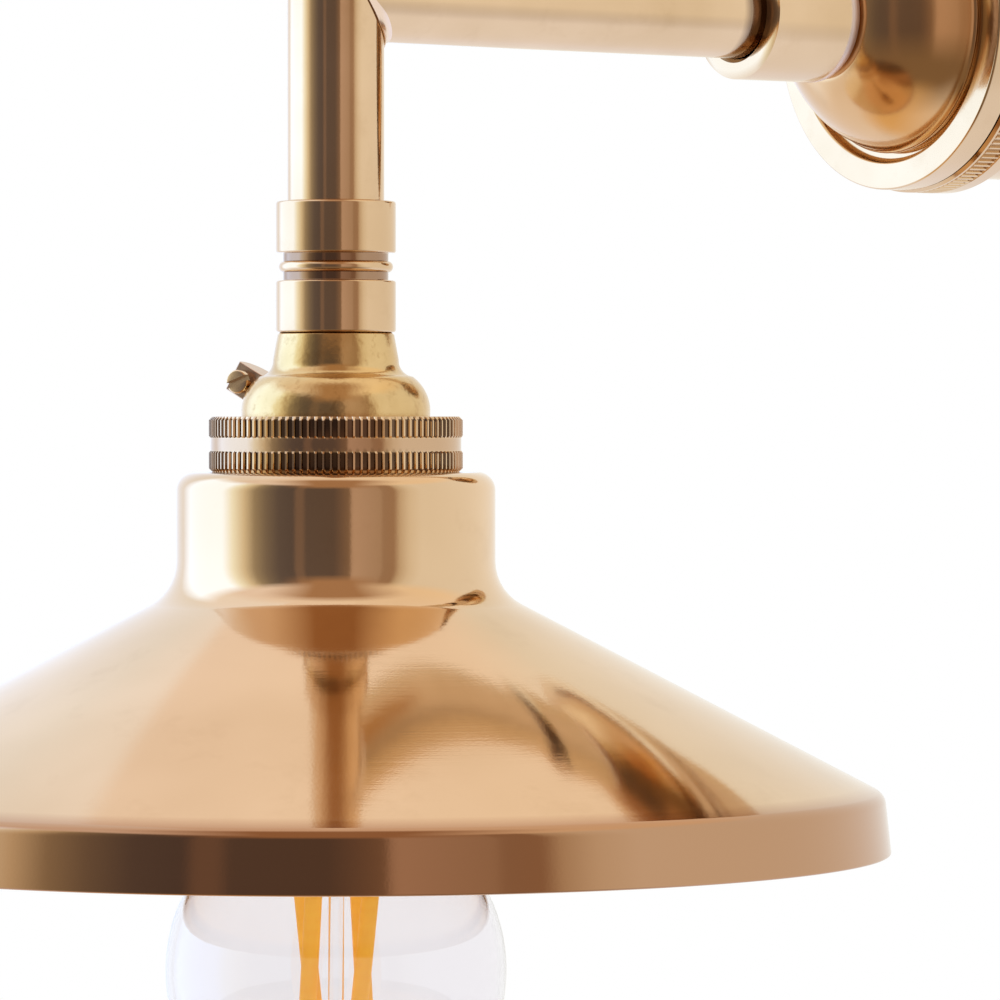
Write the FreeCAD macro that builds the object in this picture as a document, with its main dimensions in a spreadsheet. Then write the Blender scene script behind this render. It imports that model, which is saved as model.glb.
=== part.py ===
"""Hanging pendant wall sconce in turned and spun brass, as a parametric document.

Frame: the origin is the centre of the wall base's back face, on the axis of the arm.
The wall is the plane y = 0, the arm runs into the room along -Y and +Z is up.
Turned pieces of the wall end are drawn with their height as the distance from the wall.
Pieces of the lamp end are drawn with their height as the height over the arm's axis.
"""
import FreeCAD, Part
import math
import operator
import os
import Sketcher
from FreeCAD import Placement, Rotation, Vector

SIZES = [
    # Tubes, threads and the whole
    ("projection", 120.0, "wall to the axis of the drop tube"),
    ("tubeOd", 12.7, "outside diameter of the arm and the drop tube"),
    ("tubeWall", 1.6, "wall of the arm and the drop tube"),
    ("threadOd", 10.0, "outside diameter of the 10 mm threaded nipples"),
    ("nippleBore", 7.2, "bore of the nipples"),
    ("threadFit", 0.05, "radial clearance left in every screwed joint"),
    ("slipFit", 0.1, "radial clearance of a piece that slides into another"),
    ("faceFit", 0.05, "gap between faces that turn on each other"),
    ("edgeBreak", 0.4, "chamfer on turned edges"),
    ("cutOver", 1.0, "how far a bore is drilled past the piece"),
    # Wall base and its ring
    ("barrelOd", 43.8, "outside diameter of the wall base"),
    ("barrelWall", 2.4, "wall of the wall base"),
    ("barrelLength", 21.2, "depth of the wall base"),
    ("barrelFloor", 2.0, "thickness of the wall base's back"),
    ("cableHole", 10.0, "hole in the back for the supply wires"),
    ("screwHole", 4.4, "holes for the wall screws"),
    ("screwSpacing", 29.0, "distance between the wall screws"),
    ("grommetBore", 6.8, "bore of the rubber bush"),
    ("grommetFlange", 13.2, "flange diameter of the rubber bush"),
    ("grommetFlangeThick", 1.2, "flange thickness of the rubber bush"),
    ("grommetRecess", 0.4, "how far the rubber bush stays inside the back face"),
    ("lockOd", 48.2, "outside diameter of the lock ring"),
    ("lockBack", 14.0, "wall to the back of the lock ring"),
    ("lockLength", 7.0, "length of the lock ring"),
    ("lockBand", 3.0, "length of the fluted band of the lock ring"),
    ("lockBandBack", 2.9, "back of the lock ring to its fluted band"),
    ("flutePitch", 1.0, "distance from flute to flute"),
    ("fluteDepth", 0.35, "depth of the flutes"),
    ("fluteLand", 0.25, "share of the pitch that is left between two flutes"),
    ("fluteFlank", 0.125, "share of the pitch that each flank of a flute takes"),
    # Front plate, bell dome and collar
    ("plateOd", 47.6, "outside diameter of the front plate"),
    ("plateHead", 4.0, "thickness of the front plate's head"),
    ("plateGap", 0.1, "front of the wall base to the front plate"),
    ("plateRecess", 40.0, "diameter of the recess in the front plate"),
    ("plateRecessDepth", 1.8, "depth of the recess in the front plate"),
    ("plateCove", 1.5, "radius of the hollow corner of that recess"),
    ("spigotLength", 6.0, "length of the front plate's threaded spigot"),
    ("spigotWall", 2.5, "wall of the threaded spigot"),
    ("domeOd", 36.8, "diameter of the bell dome's lip"),
    ("domeLip", 1.6, "height of the straight lip of the bell dome"),
    ("domeBead", 0.9, "height of the rolled bead at the top of that lip"),
    ("domeBeadProud", 0.3, "how far the rolled bead stands out"),
    ("domeTop", 17.2, "diameter of the bell dome's flat top"),
    ("domeHeight", 13.5, "height of the bell dome"),
    ("domeBow", 18.3, "radius of the bell dome's curved side"),
    ("domeWall", 1.2, "wall of the bell dome"),
    ("collarOd", 18.4, "diameter of the arm collar"),
    ("collarLength", 15.8, "length of the arm collar"),
    ("collarSocket", 8.0, "depth that the arm goes into its collar"),
    ("collarMouth", 13.9, "diameter of the collar's countersink"),
    ("collarMouthDepth", 0.5, "depth of the collar's countersink"),
    ("collarCrown", 0.5, "how far the collar's front face falls back to its edge"),
    ("collarCrownBow", 6.0, "radius of the collar's crowned front face"),
    ("collarRearRound", 2.2, "rounding of the collar's rear edge"),
    ("wallNippleLength", 27.0, "length of the nipple at the wall end"),
    ("nutAcross", 14.0, "width across the flats of the backing nut"),
    ("nutThick", 3.0, "thickness of the backing nut"),
    ("washerOd", 20.0, "diameter of the backing washer"),
    ("washerThick", 1.0, "thickness of the backing washer"),
    # Arm joint and drop tube
    ("beadArm", 1.0, "height of the brazed bead over the arm"),
    ("beadDrop", 1.3, "height of the brazed bead over the drop tube"),
    ("dropTop", 10.0, "height of the drop tube over the arm's axis"),
    ("dropBottom", 27.4, "depth of the drop tube under the arm's axis"),
    ("capPlug", 3.0, "length of the end cap's plug"),
    ("capDisc", 1.6, "thickness of the end cap's disc"),
    # Coupler
    ("couplerOd", 15.75, "diameter of the coupler's bands"),
    ("couplerBand", 6.8, "height of each band of the coupler"),
    ("couplerGroove", 1.05, "height of each groove of the coupler"),
    ("couplerBead", 1.5, "height of the round bead between the grooves"),
    ("couplerWaist", 13.8, "diameter in the grooves"),
    ("couplerBeadOd", 15.1, "diameter of the bead"),
    ("dropNippleUp", 7.5, "how far the lower nipple goes up into the drop tube"),
    ("dropNippleDown", 5.6, "how far the lower nipple goes down into the holder cap"),
    # Lampholder cap, earth terminal and cap ring
    ("neckOd", 15.3, "top diameter of the holder cap's neck"),
    ("neckFoot", 16.5, "diameter at the foot of the neck"),
    ("neckHeight", 3.6, "height of the neck down to its foot"),
    ("neckThread", 5.7, "depth of the tapped neck"),
    ("creaseOd", 20.2, "diameter of the crease between neck and dome"),
    ("creaseDrop", 5.8, "depth of the crease under the neck's top"),
    ("neckSweep", 2.1, "radius of the hollow sweep from neck to crease"),
    ("holderDomeOd", 24.7, "diameter at the foot of the holder cap's dome"),
    ("holderDomeDrop", 11.0, "depth of the dome's foot under the neck's top"),
    ("holderDomeBow", 5.6, "radius of the dome's curve"),
    ("holderDomeWall", 0.9, "wall of the holder cap"),
    ("capFlangeOd", 27.8, "diameter of the holder cap's flange"),
    ("capFlangeThick", 0.9, "thickness of the holder cap's flange"),
    ("lugTurn", 208.3, "direction of the earth lug round the lamp axis, in degrees"),
    ("lugRise", 29.6, "rise of the earth lug's axis, in degrees"),
    ("lugFoot", 11.0, "lamp axis to the earth lug's foot"),
    ("lugFootDrop", 7.5, "depth of the earth lug's foot under the neck's top"),
    ("lugReach", 3.95, "how far the earth lug stands out of the dome"),
    ("lugWidth", 4.2, "width of the earth lug along the slope"),
    ("lugFace", 1.7, "lug's axis to its flat face"),
    ("lugScrewOut", 2.15, "lug's foot to the axis of its screw"),
    ("lugRound", 3.4, "radius of the earth lug's rounded back"),
    ("lugRoot", 1.5, "how far the lug's block reaches into the dome before it is trimmed"),
    ("lugBore", 2.2, "wire bore of the earth lug"),
    ("earthScrewOd", 3.1, "diameter of the earth screw"),
    ("earthScrewProud", 1.9, "how far the earth screw stands out of the flat face"),
    ("earthSlot", 0.8, "width of the screw's slot"),
    ("earthSlotDeep", 0.9, "depth of the screw's slot"),
    ("earthSlotTurn", 51.3, "turn of the screw's slot from the lug's axis, in degrees"),
    ("ringOd", 33.3, "diameter of the cap ring"),
    ("ringLength", 7.3, "height of the cap ring"),
    ("ringBevel", 0.5, "chamfer of the cap ring"),
    ("ringLip", 0.9, "thickness of the cap ring's inward lip"),
    ("ringBand", 2.8, "height of each fluted band with its chamfer"),
    ("ringGrooveOd", 32.9, "diameter of the cap ring's plain groove"),
    ("ringLipFit", 0.15, "radial gap between the dome and the ring's lip"),
    # Holder body and what is in it
    ("holderOd", 28.3, "outside diameter of the holder body"),
    ("holderBore", 22.6, "bore of the holder body for the bulb's cap"),
    ("holderTopBore", 25.8, "bore of the holder body round the insulator"),
    ("holderMouth", 35.6, "holder body's top to its mouth"),
    ("holderShoulder", 17.1, "holder body's top to the shoulder under the insulator"),
    ("insulatorRim", 1.8, "wall of the insulator's rim"),
    ("insulatorFloorTop", 6.1, "holder body's top to the insulator's upper face"),
    ("plungerSpacing", 10.4, "distance between the two contact plungers"),
    ("plungerStem", 3.5, "diameter of a plunger's stem"),
    ("plungerHead", 5.0, "diameter of a plunger's head"),
    ("plungerHeadThick", 1.5, "thickness of a plunger's head"),
    ("plungerReach", 2.4, "how far a plunger stands under the insulator"),
    ("plungerSpare", 1.1, "travel left under a plunger's head"),
    ("insulatorSill", 2.0, "thickness of the insulator under the plunger's head"),
    ("springWire", 0.5, "wire of a plunger spring"),
    ("springOd", 4.4, "outside diameter of a plunger spring"),
    ("springTurns", 5, "turns of a plunger spring"),
    ("terminalWide", 6.0, "width of a terminal block"),
    ("terminalLong", 5.6, "length of a terminal block"),
    ("terminalTall", 5.4, "height of a terminal block"),
    ("terminalBore", 2.2, "wire bore of a terminal block"),
    ("terminalBoreDeep", 3.0, "depth of the wire bore"),
    ("terminalScrewOd", 2.5, "diameter of a terminal screw"),
    ("terminalScrewHeadOd", 3.6, "head diameter of a terminal screw"),
    ("terminalScrewHead", 1.2, "head height of a terminal screw"),
    # Bayonet
    ("pinOd", 2.2, "diameter of a bayonet pin"),
    ("pinSpan", 26.5, "distance over both bayonet pins"),
    ("pinDrop", 6.8, "bulb's contacts to its bayonet pins"),
    ("slotWide", 2.6, "width of the bayonet slots"),
    ("slotDeep", 27.0, "diameter over the bottoms of the bayonet slots"),
    ("slotTurn", 22.0, "turn from the entry slot to the hook, in degrees"),
    ("pressTravel", 2.0, "travel of the bulb from its hook to the channel"),
    ("hookFit", 0.05, "gap between a pin and the bottom of its hook"),
    # Shade and its ring
    ("shadeHole", 29.0, "hole of the shade"),
    ("shadeWall", 0.9, "sheet of the shade"),
    ("galleryOd", 41.86, "diameter of the shade's gallery"),
    ("galleryRound", 2.4, "rounding of the gallery's top edge"),
    ("galleryHeight", 15.58, "shade's top to the corner of gallery and cone"),
    ("gallerySweep", 6.5, "radius of the sweep from gallery to cone"),
    ("shoulderOd", 143.9, "diameter at the corner of cone and rim band"),
    ("shoulderDrop", 42.2, "shade's top to the corner of cone and rim band"),
    ("shoulderRound", 1.9, "rounding of the shoulder"),
    ("rimOd", 145.6, "diameter of the rim"),
    ("shadeHeight", 49.85, "height of the shade"),
    ("shadeRingOd", 35.2, "diameter of the shade ring"),
    ("shadeRingLength", 5.0, "height of the shade ring"),
    ("shadeRingPitch", 2.0, "distance from flute to flute of the shade ring"),
    # Bulb
    ("bulbOd", 44.8, "diameter of the bulb's globe"),
    ("bulbLength", 73.8, "length of the bulb with its contacts"),
    ("bulbNeckOd", 21.0, "diameter of the bulb's glass neck"),
    ("bulbSweep", 12.0, "radius of the hollow sweep from neck to globe"),
    ("bulbWall", 0.8, "wall of the globe"),
    ("bulbCapOd", 22.0, "diameter of the bulb's metal cap"),
    ("bulbCapWall", 0.35, "wall of the bulb's metal cap"),
    ("bulbCapLength", 22.6, "length of the bulb's metal cap"),
    ("bulbContactOd", 4.6, "diameter of a bulb contact"),
    ("bulbContactProud", 0.6, "height of a bulb contact"),
    ("bulbBaseThick", 3.6, "thickness of the bulb's base insulator"),
    ("bulbBaseProud", 0.7, "how far the base insulator stands over the cap"),
    ("bulbNeckIn", 8.0, "how far the glass neck goes up into the cap"),
    ("stemDisc", 1.0, "thickness of the stem's foot"),
    ("stemOd", 2.1, "diameter of the stem's rod"),
    ("stemTubeOd", 7.0, "diameter of the stem's tube"),
    ("stemTubeLength", 8.0, "length of the stem's tube"),
    ("filamentOd", 2.3, "diameter of an LED filament"),
    ("filamentTopDrop", 31.2, "bulb's contacts to the top of the filaments"),
    ("filamentLength", 34.0, "height of the filaments"),
    ("filamentTopR", 6.0, "stem to the top of a filament"),
    ("filamentFootR", 4.7, "stem to the foot of a filament"),
    ("filamentTopTurn", 121.3, "direction of the first filament's top, in degrees"),
    ("filamentFootTurn", 81.3, "direction of the first filament's foot, in degrees"),
    ("filamentCount", 4, "number of filaments"),
    ("supportWire", 0.5, "diameter of the support wires"),
    ("supportFit", 0.15, "gap from a filament's end to its support wire"),
    ("supportHubOd", 3.4, "diameter of a support hub"),
    ("supportHub", 1.2, "height of a support hub"),
    ("driverWide", 13.0, "width of the driver board"),
    ("driverTall", 10.2, "height of the driver board"),
    ("driverThick", 1.6, "thickness of the driver board"),
    # Wires inside the tubes
    ("wireOd", 1.9, "diameter of an insulated wire"),
    ("wireSpacing", 2.2, "distance between the wires"),
    ("wireBend", 9.5, "radius of the wires' bend from the arm into the drop tube"),
    ("wireSwan", 5.0, "radius of the wires' bends to the terminals"),
    ("earthBend", 2.2, "radius of the earth wire's bend to its lug"),
    ("wireTail", 0.5, "wall to the cut ends of the wires"),
    ("wireTurnOut", 52.2, "depth where live and neutral turn towards their terminals"),
    ("wireTurnDown", 56.4, "depth where live and neutral turn down into their terminals"),
    ("earthTurnDepth", 56.5, "depth of the earth wire's turn"),
    ("earthRun", 7.0, "lamp axis to where the earth wire meets the lug's axis"),
]

doc = FreeCAD.newDocument("PendantWallSconce")
sheet = doc.addObject("Spreadsheet::Sheet", "Sizes")
for row, (name, number, note) in enumerate(SIZES, start=1):
    sheet.set(f"A{row}", note)
    sheet.set(f"B{row}", str(number))
    sheet.setAlias(f"B{row}", name)
doc.recompute()


# Sizes that carry their expression on the sheet

OPERATIONS = {"+": operator.add, "-": operator.sub, "*": operator.mul, "/": operator.truediv}


class Size:
    """A number worked out from the sheet: its expression and its present value."""

    def __init__(self, text, value):
        self.text = text
        self.value = value

    def __add__(self, other):
        return combine(self, "+", other)

    def __radd__(self, other):
        return combine(other, "+", self)

    def __sub__(self, other):
        return combine(self, "-", other)

    def __rsub__(self, other):
        return combine(other, "-", self)

    def __mul__(self, other):
        return combine(self, "*", other)

    def __rmul__(self, other):
        return combine(other, "*", self)

    def __truediv__(self, other):
        return combine(self, "/", other)

    def __neg__(self):
        return combine(0, "-", self)


class Named:
    """dim.tubeOd is the size of that name on the sheet."""

    def __getattr__(self, name):
        return Size(f"Sizes.{name}", float(sheet.get(name)))


def as_size(item):
    return item if isinstance(item, Size) else Size(repr(float(item)), float(item))


def combine(left, sign, right):
    left, right = as_size(left), as_size(right)
    return Size(f"({left.text} {sign} {right.text})", OPERATIONS[sign](left.value, right.value))


def root(item):
    return Size(f"sqrt({item.text})", math.sqrt(item.value))


def arc_radius(chord, rise):
    """Radius of the arc that stands so high over its chord."""
    return (chord * chord / 4 + rise * rise) / (rise * 2)


dim = Named()
sub_parts = []


def node(item, label):
    """Name a finished sub-part; the name is also its file's."""
    item.Label = label
    sub_parts.append(item)
    return item


def bind(item, sizes):
    """Set properties of an object and bind them to the sheet."""
    for prop, value in sizes.items():
        item.setExpression(prop, as_size(value).text)
    return item


# Sketches and turned bodies

LEFT = 1
RIGHT = -1
SAME = 1e-4


def arc_between(start, end, radius, side):
    """The short arc from start to end that bulges to the left or the right of the way."""
    chord = end - start
    half = chord.Length / 2
    left = Vector(-chord.y, chord.x, 0).normalize()
    centre = (start + end) / 2 - left * side * math.sqrt(max(radius ** 2 - half ** 2, 0))
    first, last = (end, start) if side == LEFT else (start, end)
    angles = [math.atan2(point.y - centre.y, point.x - centre.x) for point in (first, last)]
    return Part.ArcOfCircle(Part.Circle(centre, Vector(0, 0, 1), radius), *angles)


def profile(body, name, corners, role="XZ_Plane"):
    """A closed, fully constrained sketch through corners (across, up[, radius, side]).

    A corner with a radius starts an arc that bulges to that side of the way to the next corner.
    """
    sketch = body.newObject("Sketcher::SketchObject", name)
    plane = next(item for item in body.Origin.OriginFeatures if item.Role == role)
    sketch.AttachmentSupport = (plane, [""])
    sketch.MapMode = "FlatFace"
    count = len(corners)
    points = [Vector(as_size(c[0]).value, as_size(c[1]).value, 0) for c in corners]
    begins = []
    ends = []
    for index, corner in enumerate(corners):
        start, end = points[index], points[(index + 1) % count]
        if len(corner) == 2:
            sketch.addGeometry(Part.LineSegment(start, end), False)
            side = RIGHT
        else:
            side = corner[3]
            sketch.addGeometry(arc_between(start, end, as_size(corner[2]).value, side), False)
        begins.append(2 if side == LEFT else 1)
        ends.append(1 if side == LEFT else 2)
    for index in range(count):
        after = (index + 1) % count
        sketch.addConstraint(Sketcher.Constraint("Coincident", index, ends[index], after, begins[after]))
    for index, corner in enumerate(corners):
        settings = [("DistanceX", corner[0], points[index].x), ("DistanceY", corner[1], points[index].y)]
        for kind, value, now in settings:
            rule = sketch.addConstraint(Sketcher.Constraint(kind, -1, 1, index, begins[index], now))
            sketch.setExpression(f"Constraints[{rule}]", as_size(value).text)
        if len(corner) > 2:
            radius = as_size(corner[2])
            rule = sketch.addConstraint(Sketcher.Constraint("Radius", index, radius.value))
            sketch.setExpression(f"Constraints[{rule}]", radius.text)
    return sketch


def turned(name, corners):
    """A body turned about its own Z axis from a closed outline of (radius, height) corners."""
    body = doc.addObject("PartDesign::Body", name)
    sketch = profile(body, name + "Outline", corners)
    turn = body.newObject("PartDesign::Revolution", name + "Turn")
    turn.Profile = sketch
    turn.ReferenceAxis = (sketch, ["V_Axis"])
    turn.Angle = 360
    body.Tip = turn
    return body


def padded(name, corners, length):
    """A body of a flat outline in XY, padded up along its own Z axis."""
    body = doc.addObject("PartDesign::Body", name)
    sketch = profile(body, name + "Outline", corners, "XY_Plane")
    pad = body.newObject("PartDesign::Pad", name + "Pad")
    pad.Profile = sketch
    bind(pad, {"Length": length})
    body.Tip = pad
    return body


def sleeve(name, outer, inner, low, high):
    """A plain turned tube between two heights."""
    return turned(name, [(inner, low), (outer, low), (outer, high), (inner, high)])


def box_corners(wide, long):
    return [(-wide / 2, -long / 2), (wide / 2, -long / 2), (wide / 2, long / 2), (-wide / 2, long / 2)]


# Places

ON_ARM = Rotation(Vector(1, 0, 0), 90)


def on_arm(item):
    """Stand a piece on the wall: its own Z axis becomes the arm's axis, out of the wall."""
    item.Placement = Placement(Vector(), ON_ARM)
    return item


def on_lamp(item, across=0, along=0, height=0):
    """Hang a piece on the lamp axis, which is upright at the end of the arm."""
    bind(item, {
        "Placement.Base.x": across,
        "Placement.Base.y": along - dim.projection,
        "Placement.Base.z": height,
    })
    return item


def rod(name, radius, length, base, rotation=None):
    """A round bar for a bore or a pin; base is its (x, y, z) and rotation turns its Z axis."""
    item = doc.addObject("Part::Cylinder", name)
    item.Placement = Placement(Vector(), rotation or Rotation())
    bind(item, {"Radius": radius, "Height": length})
    bind(item, {f"Placement.Base.{axis}": value for axis, value in zip("xyz", base)})
    return item


def cut(name, base, *tools):
    """One piece less one or more others."""
    item = doc.addObject("Part::Cut", name)
    item.Base = base
    item.Tool = tools[0] if len(tools) == 1 else fused(name + "Tools", *tools)
    return item


def fused(name, *shapes):
    item = doc.addObject("Part::MultiFuse", name)
    item.Shapes = list(shapes)
    return item


def common(name, *shapes):
    item = doc.addObject("Part::MultiCommon", name)
    item.Shapes = list(shapes)
    return item


def shaped(name, shape, placement=None):
    """A piece whose shape is worked out here from the sheet's values."""
    item = doc.addObject("Part::Feature", name)
    item.Shape = shape
    item.Placement = placement or Placement()
    return item


# Levels over the arm's axis, and distances from the wall, that several pieces share

tube_r = dim.tubeOd / 2
bore_r = dim.tubeOd / 2 - dim.tubeWall
thread_r = dim.threadOd / 2
tapped_r = thread_r + dim.threadFit

plate_back = dim.barrelLength + dim.plateGap
plate_front = plate_back + dim.plateHead
dome_foot = plate_front - dim.plateRecessDepth
collar_back = dome_foot + dim.domeHeight
collar_front = collar_back + dim.collarLength
arm_end = collar_front - dim.collarSocket

coupler_top = -dim.dropBottom
coupler_bottom = coupler_top - dim.couplerBand * 2 - dim.couplerGroove * 2 - dim.couplerBead
neck_top = coupler_bottom
flange_top = neck_top - dim.holderDomeDrop - dim.ringLip
holder_top = flange_top - dim.capFlangeThick
ring_top = flange_top + dim.ringLip
ring_bottom = ring_top - dim.ringLength
shade_top = ring_bottom
shade_under = shade_top - dim.shadeWall
shoulder = holder_top - dim.holderShoulder
insulator_top = holder_top - dim.insulatorFloorTop
contact_top = shoulder - dim.plungerReach
pin_level = contact_top - dim.pinDrop


# Fluted rings

def fluted_prism(radius, depth, pitch, inner, low, high):
    """A ring whose outside is cut with upright flutes about one pitch apart."""
    flutes = round(2 * math.pi * radius / pitch)
    step = 2 * math.pi / flutes
    land = dim.fluteLand.value
    flank = dim.fluteFlank.value
    steps = ((0, radius), (land, radius), (land + flank, radius - depth), (1 - flank, radius - depth))
    points = []
    for flute in range(flutes):
        for part, reach in steps:
            angle = (flute + part) * step
            points.append(Vector(reach * math.cos(angle), reach * math.sin(angle), low))
    outside = Part.Face(Part.makePolygon(points + points[:1]))
    prism = outside.extrude(Vector(0, 0, high - low))
    return prism.cut(Part.makeCylinder(inner, high - low, Vector(0, 0, low)))


def turned_shape(corners):
    """A turned shape from plain (radius, height) numbers."""
    points = [Vector(across, 0, up) for across, up in corners]
    face = Part.Face(Part.makePolygon(points + points[:1]))
    return face.revolve(Vector(), Vector(0, 0, 1), 360)


def chamfered_ring(radius, inner, low, high, bevel):
    return turned_shape([
        (inner, low), (radius - bevel, low), (radius, low + bevel),
        (radius, high - bevel), (radius - bevel, high), (inner, high),
    ])


# Wall end

def build_wall_base():
    outer = dim.barrelOd / 2
    inner = outer - dim.barrelWall
    hole = dim.cableHole / 2
    body = on_arm(turned("WallBase", [
        (hole, 0), (outer, 0), (outer, dim.barrelLength - dim.edgeBreak),
        (outer - dim.edgeBreak, dim.barrelLength), (inner, dim.barrelLength),
        (inner, dim.barrelFloor), (hole, dim.barrelFloor),
    ]))
    holes = []
    for name, side in (("ScrewHoleTop", 1), ("ScrewHoleBottom", -1)):
        base = (0, dim.cutOver, dim.screwSpacing / 2 * side)
        length = dim.barrelFloor + dim.cutOver * 2
        holes.append(rod(name, dim.screwHole / 2, length, base, ON_ARM))
    node(cut("WallBaseDrilled", body, *holes), "wall_base")


def build_grommet():
    neck = dim.cableHole / 2 - dim.threadFit
    flange = dim.grommetFlange / 2
    inner = dim.grommetBore / 2
    top = dim.barrelFloor + dim.grommetFlangeThick
    node(on_arm(turned("Grommet", [
        (inner, dim.grommetRecess), (neck, dim.grommetRecess), (neck, dim.barrelFloor),
        (flange, dim.barrelFloor), (flange, top), (inner, top),
    ])), "cable_grommet")


def build_lock_ring():
    """Plain ring with one fluted band, screwed on the outside of the wall base."""
    radius = (dim.lockOd / 2).value
    inner = (dim.barrelOd / 2 + dim.threadFit).value
    low = dim.lockBack.value
    high = low + dim.lockLength.value
    band_low = low + dim.lockBandBack.value
    band_high = band_low + dim.lockBand.value
    depth = dim.fluteDepth.value
    bevel = dim.edgeBreak.value
    plain = turned_shape([
        (inner, low), (radius - bevel, low), (radius, low + bevel), (radius, band_low),
        (radius - depth, band_low), (radius - depth, band_high), (radius, band_high),
        (radius, high - bevel), (radius - bevel, high), (inner, high),
    ])
    band = fluted_prism(radius, depth, dim.flutePitch.value, inner, band_low, band_high)
    node(shaped("LockRing", plain.fuse(band), Placement(Vector(), ON_ARM)), "lock_ring")


def build_front_plate():
    outer = dim.plateOd / 2
    spigot = dim.barrelOd / 2 - dim.barrelWall - dim.threadFit
    spigot_in = spigot - dim.spigotWall
    spigot_end = plate_back - dim.spigotLength
    recess = dim.plateRecess / 2
    hole = thread_r + dim.slipFit
    small = dim.edgeBreak / 2
    node(on_arm(turned("FrontPlate", [
        (hole, plate_back), (spigot_in, plate_back), (spigot_in, spigot_end),
        (spigot, spigot_end), (spigot, plate_back), (outer, plate_back),
        (outer, plate_front - dim.edgeBreak), (outer - dim.edgeBreak, plate_front),
        (recess + small, plate_front), (recess, plate_front - small),
        (recess, dome_foot + dim.plateCove, dim.plateCove, LEFT), (recess - dim.plateCove, dome_foot),
        (hole, dome_foot),
    ])), "front_plate")


def build_bell_dome():
    outer = dim.domeOd / 2
    wall = dim.domeWall
    lip = dome_foot + dim.domeLip
    top_r = dim.domeTop / 2
    hole = thread_r + dim.slipFit
    node(on_arm(turned("BellDome", [
        (outer - wall, dome_foot), (outer, dome_foot),
        (outer, lip - dim.domeBead, arc_radius(dim.domeBead, dim.domeBeadProud), RIGHT),
        (outer, lip, dim.domeBow, RIGHT),
        (top_r, collar_back), (hole, collar_back), (hole, collar_back - wall),
        (top_r - wall / 2, collar_back - wall, dim.domeBow - wall, LEFT), (outer - wall, lip),
    ])), "bell_dome")


def build_collar():
    outer = dim.collarOd / 2
    round_r = dim.collarRearRound
    socket = tube_r + dim.slipFit
    mouth = dim.collarMouth / 2
    node(on_arm(turned("Collar", [
        (tapped_r, collar_back), (outer - round_r, collar_back, round_r, RIGHT),
        (outer, collar_back + round_r), (outer, collar_front - dim.collarCrown, dim.collarCrownBow, RIGHT),
        (mouth, collar_front),
        (socket, collar_front - dim.collarMouthDepth), (socket, arm_end), (tapped_r, arm_end),
    ])), "arm_collar")


def build_wall_nipple():
    high = arm_end - dim.faceFit
    low = high - dim.wallNippleLength
    node(on_arm(sleeve("WallNipple", thread_r, dim.nippleBore / 2, low, high)), "wall_nipple")


def build_backing():
    """Washer and nut that draw the collar and the dome on to the front plate."""
    face = plate_back - dim.washerThick
    hole = thread_r + dim.slipFit
    washer = sleeve("BackingWasher", dim.washerOd / 2, hole, face, plate_back)
    node(on_arm(washer), "backing_washer")
    flat = dim.nutAcross / 2
    edge = dim.nutAcross / math.sqrt(3)
    hexagon = [
        (edge, 0), (edge / 2, flat), (-edge / 2, flat), (-edge, 0), (-edge / 2, -flat), (edge / 2, -flat),
    ]
    blank = padded("BackingNutBlank", hexagon, dim.nutThick)
    blank.Placement = Placement(Vector(), ON_ARM)
    bind(blank, {"Placement.Base.y": dim.nutThick - face})
    bore_back = dim.nutThick - face + dim.cutOver
    bore = rod("BackingNutBore", tapped_r, dim.nutThick + dim.cutOver * 2, (0, bore_back, 0), ON_ARM)
    node(cut("BackingNut", blank, bore), "backing_nut")


# Arm and drop tube

def build_tubes():
    """The arm is coped to the drop tube; the drop tube is bored where the arm meets it."""
    arm_blank = on_arm(sleeve("ArmBlank", tube_r, bore_r, arm_end, dim.projection))
    notch = rod("ArmNotch", tube_r, dim.tubeOd * 2, (0, -dim.projection, -dim.tubeOd))
    node(cut("ArmTube", arm_blank, notch), "arm_tube")
    drop_blank = on_lamp(sleeve("DropBlank", tube_r, bore_r, -dim.dropBottom, dim.dropTop))
    opening = rod("DropOpening", bore_r, dim.tubeOd, (0, tube_r * 2 - dim.projection, 0), ON_ARM)
    node(cut("DropTube", drop_blank, opening), "drop_tube")


def build_bead():
    """Brazed bead: what lies close to both tubes, on the side of the wall."""
    over_arm = on_arm(sleeve("BeadOverArm", tube_r + dim.beadArm, tube_r, 0, dim.projection))
    reach = dim.tubeOd
    over_drop = on_lamp(sleeve("BeadOverDrop", tube_r + dim.beadDrop, tube_r, -reach, reach))
    both = common("BeadBoth", over_arm, over_drop)
    half = doc.addObject("Part::Box", "BeadHalf")
    bind(half, {
        "Length": reach * 2,
        "Width": reach,
        "Height": reach * 2,
        "Placement.Base.x": -reach,
        "Placement.Base.y": tube_r / 2 - dim.projection,
        "Placement.Base.z": -reach,
    })
    node(common("BrazedBead", both, half), "brazed_bead")


def build_end_cap():
    plug = bore_r - dim.threadFit
    top = dim.dropTop + dim.capDisc
    node(on_lamp(turned("EndCap", [
        (0, dim.dropTop - dim.capPlug), (plug, dim.dropTop - dim.capPlug), (plug, dim.dropTop),
        (tube_r, dim.dropTop), (tube_r, top - dim.edgeBreak), (tube_r - dim.edgeBreak, top), (0, top),
    ])), "end_cap")


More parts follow.
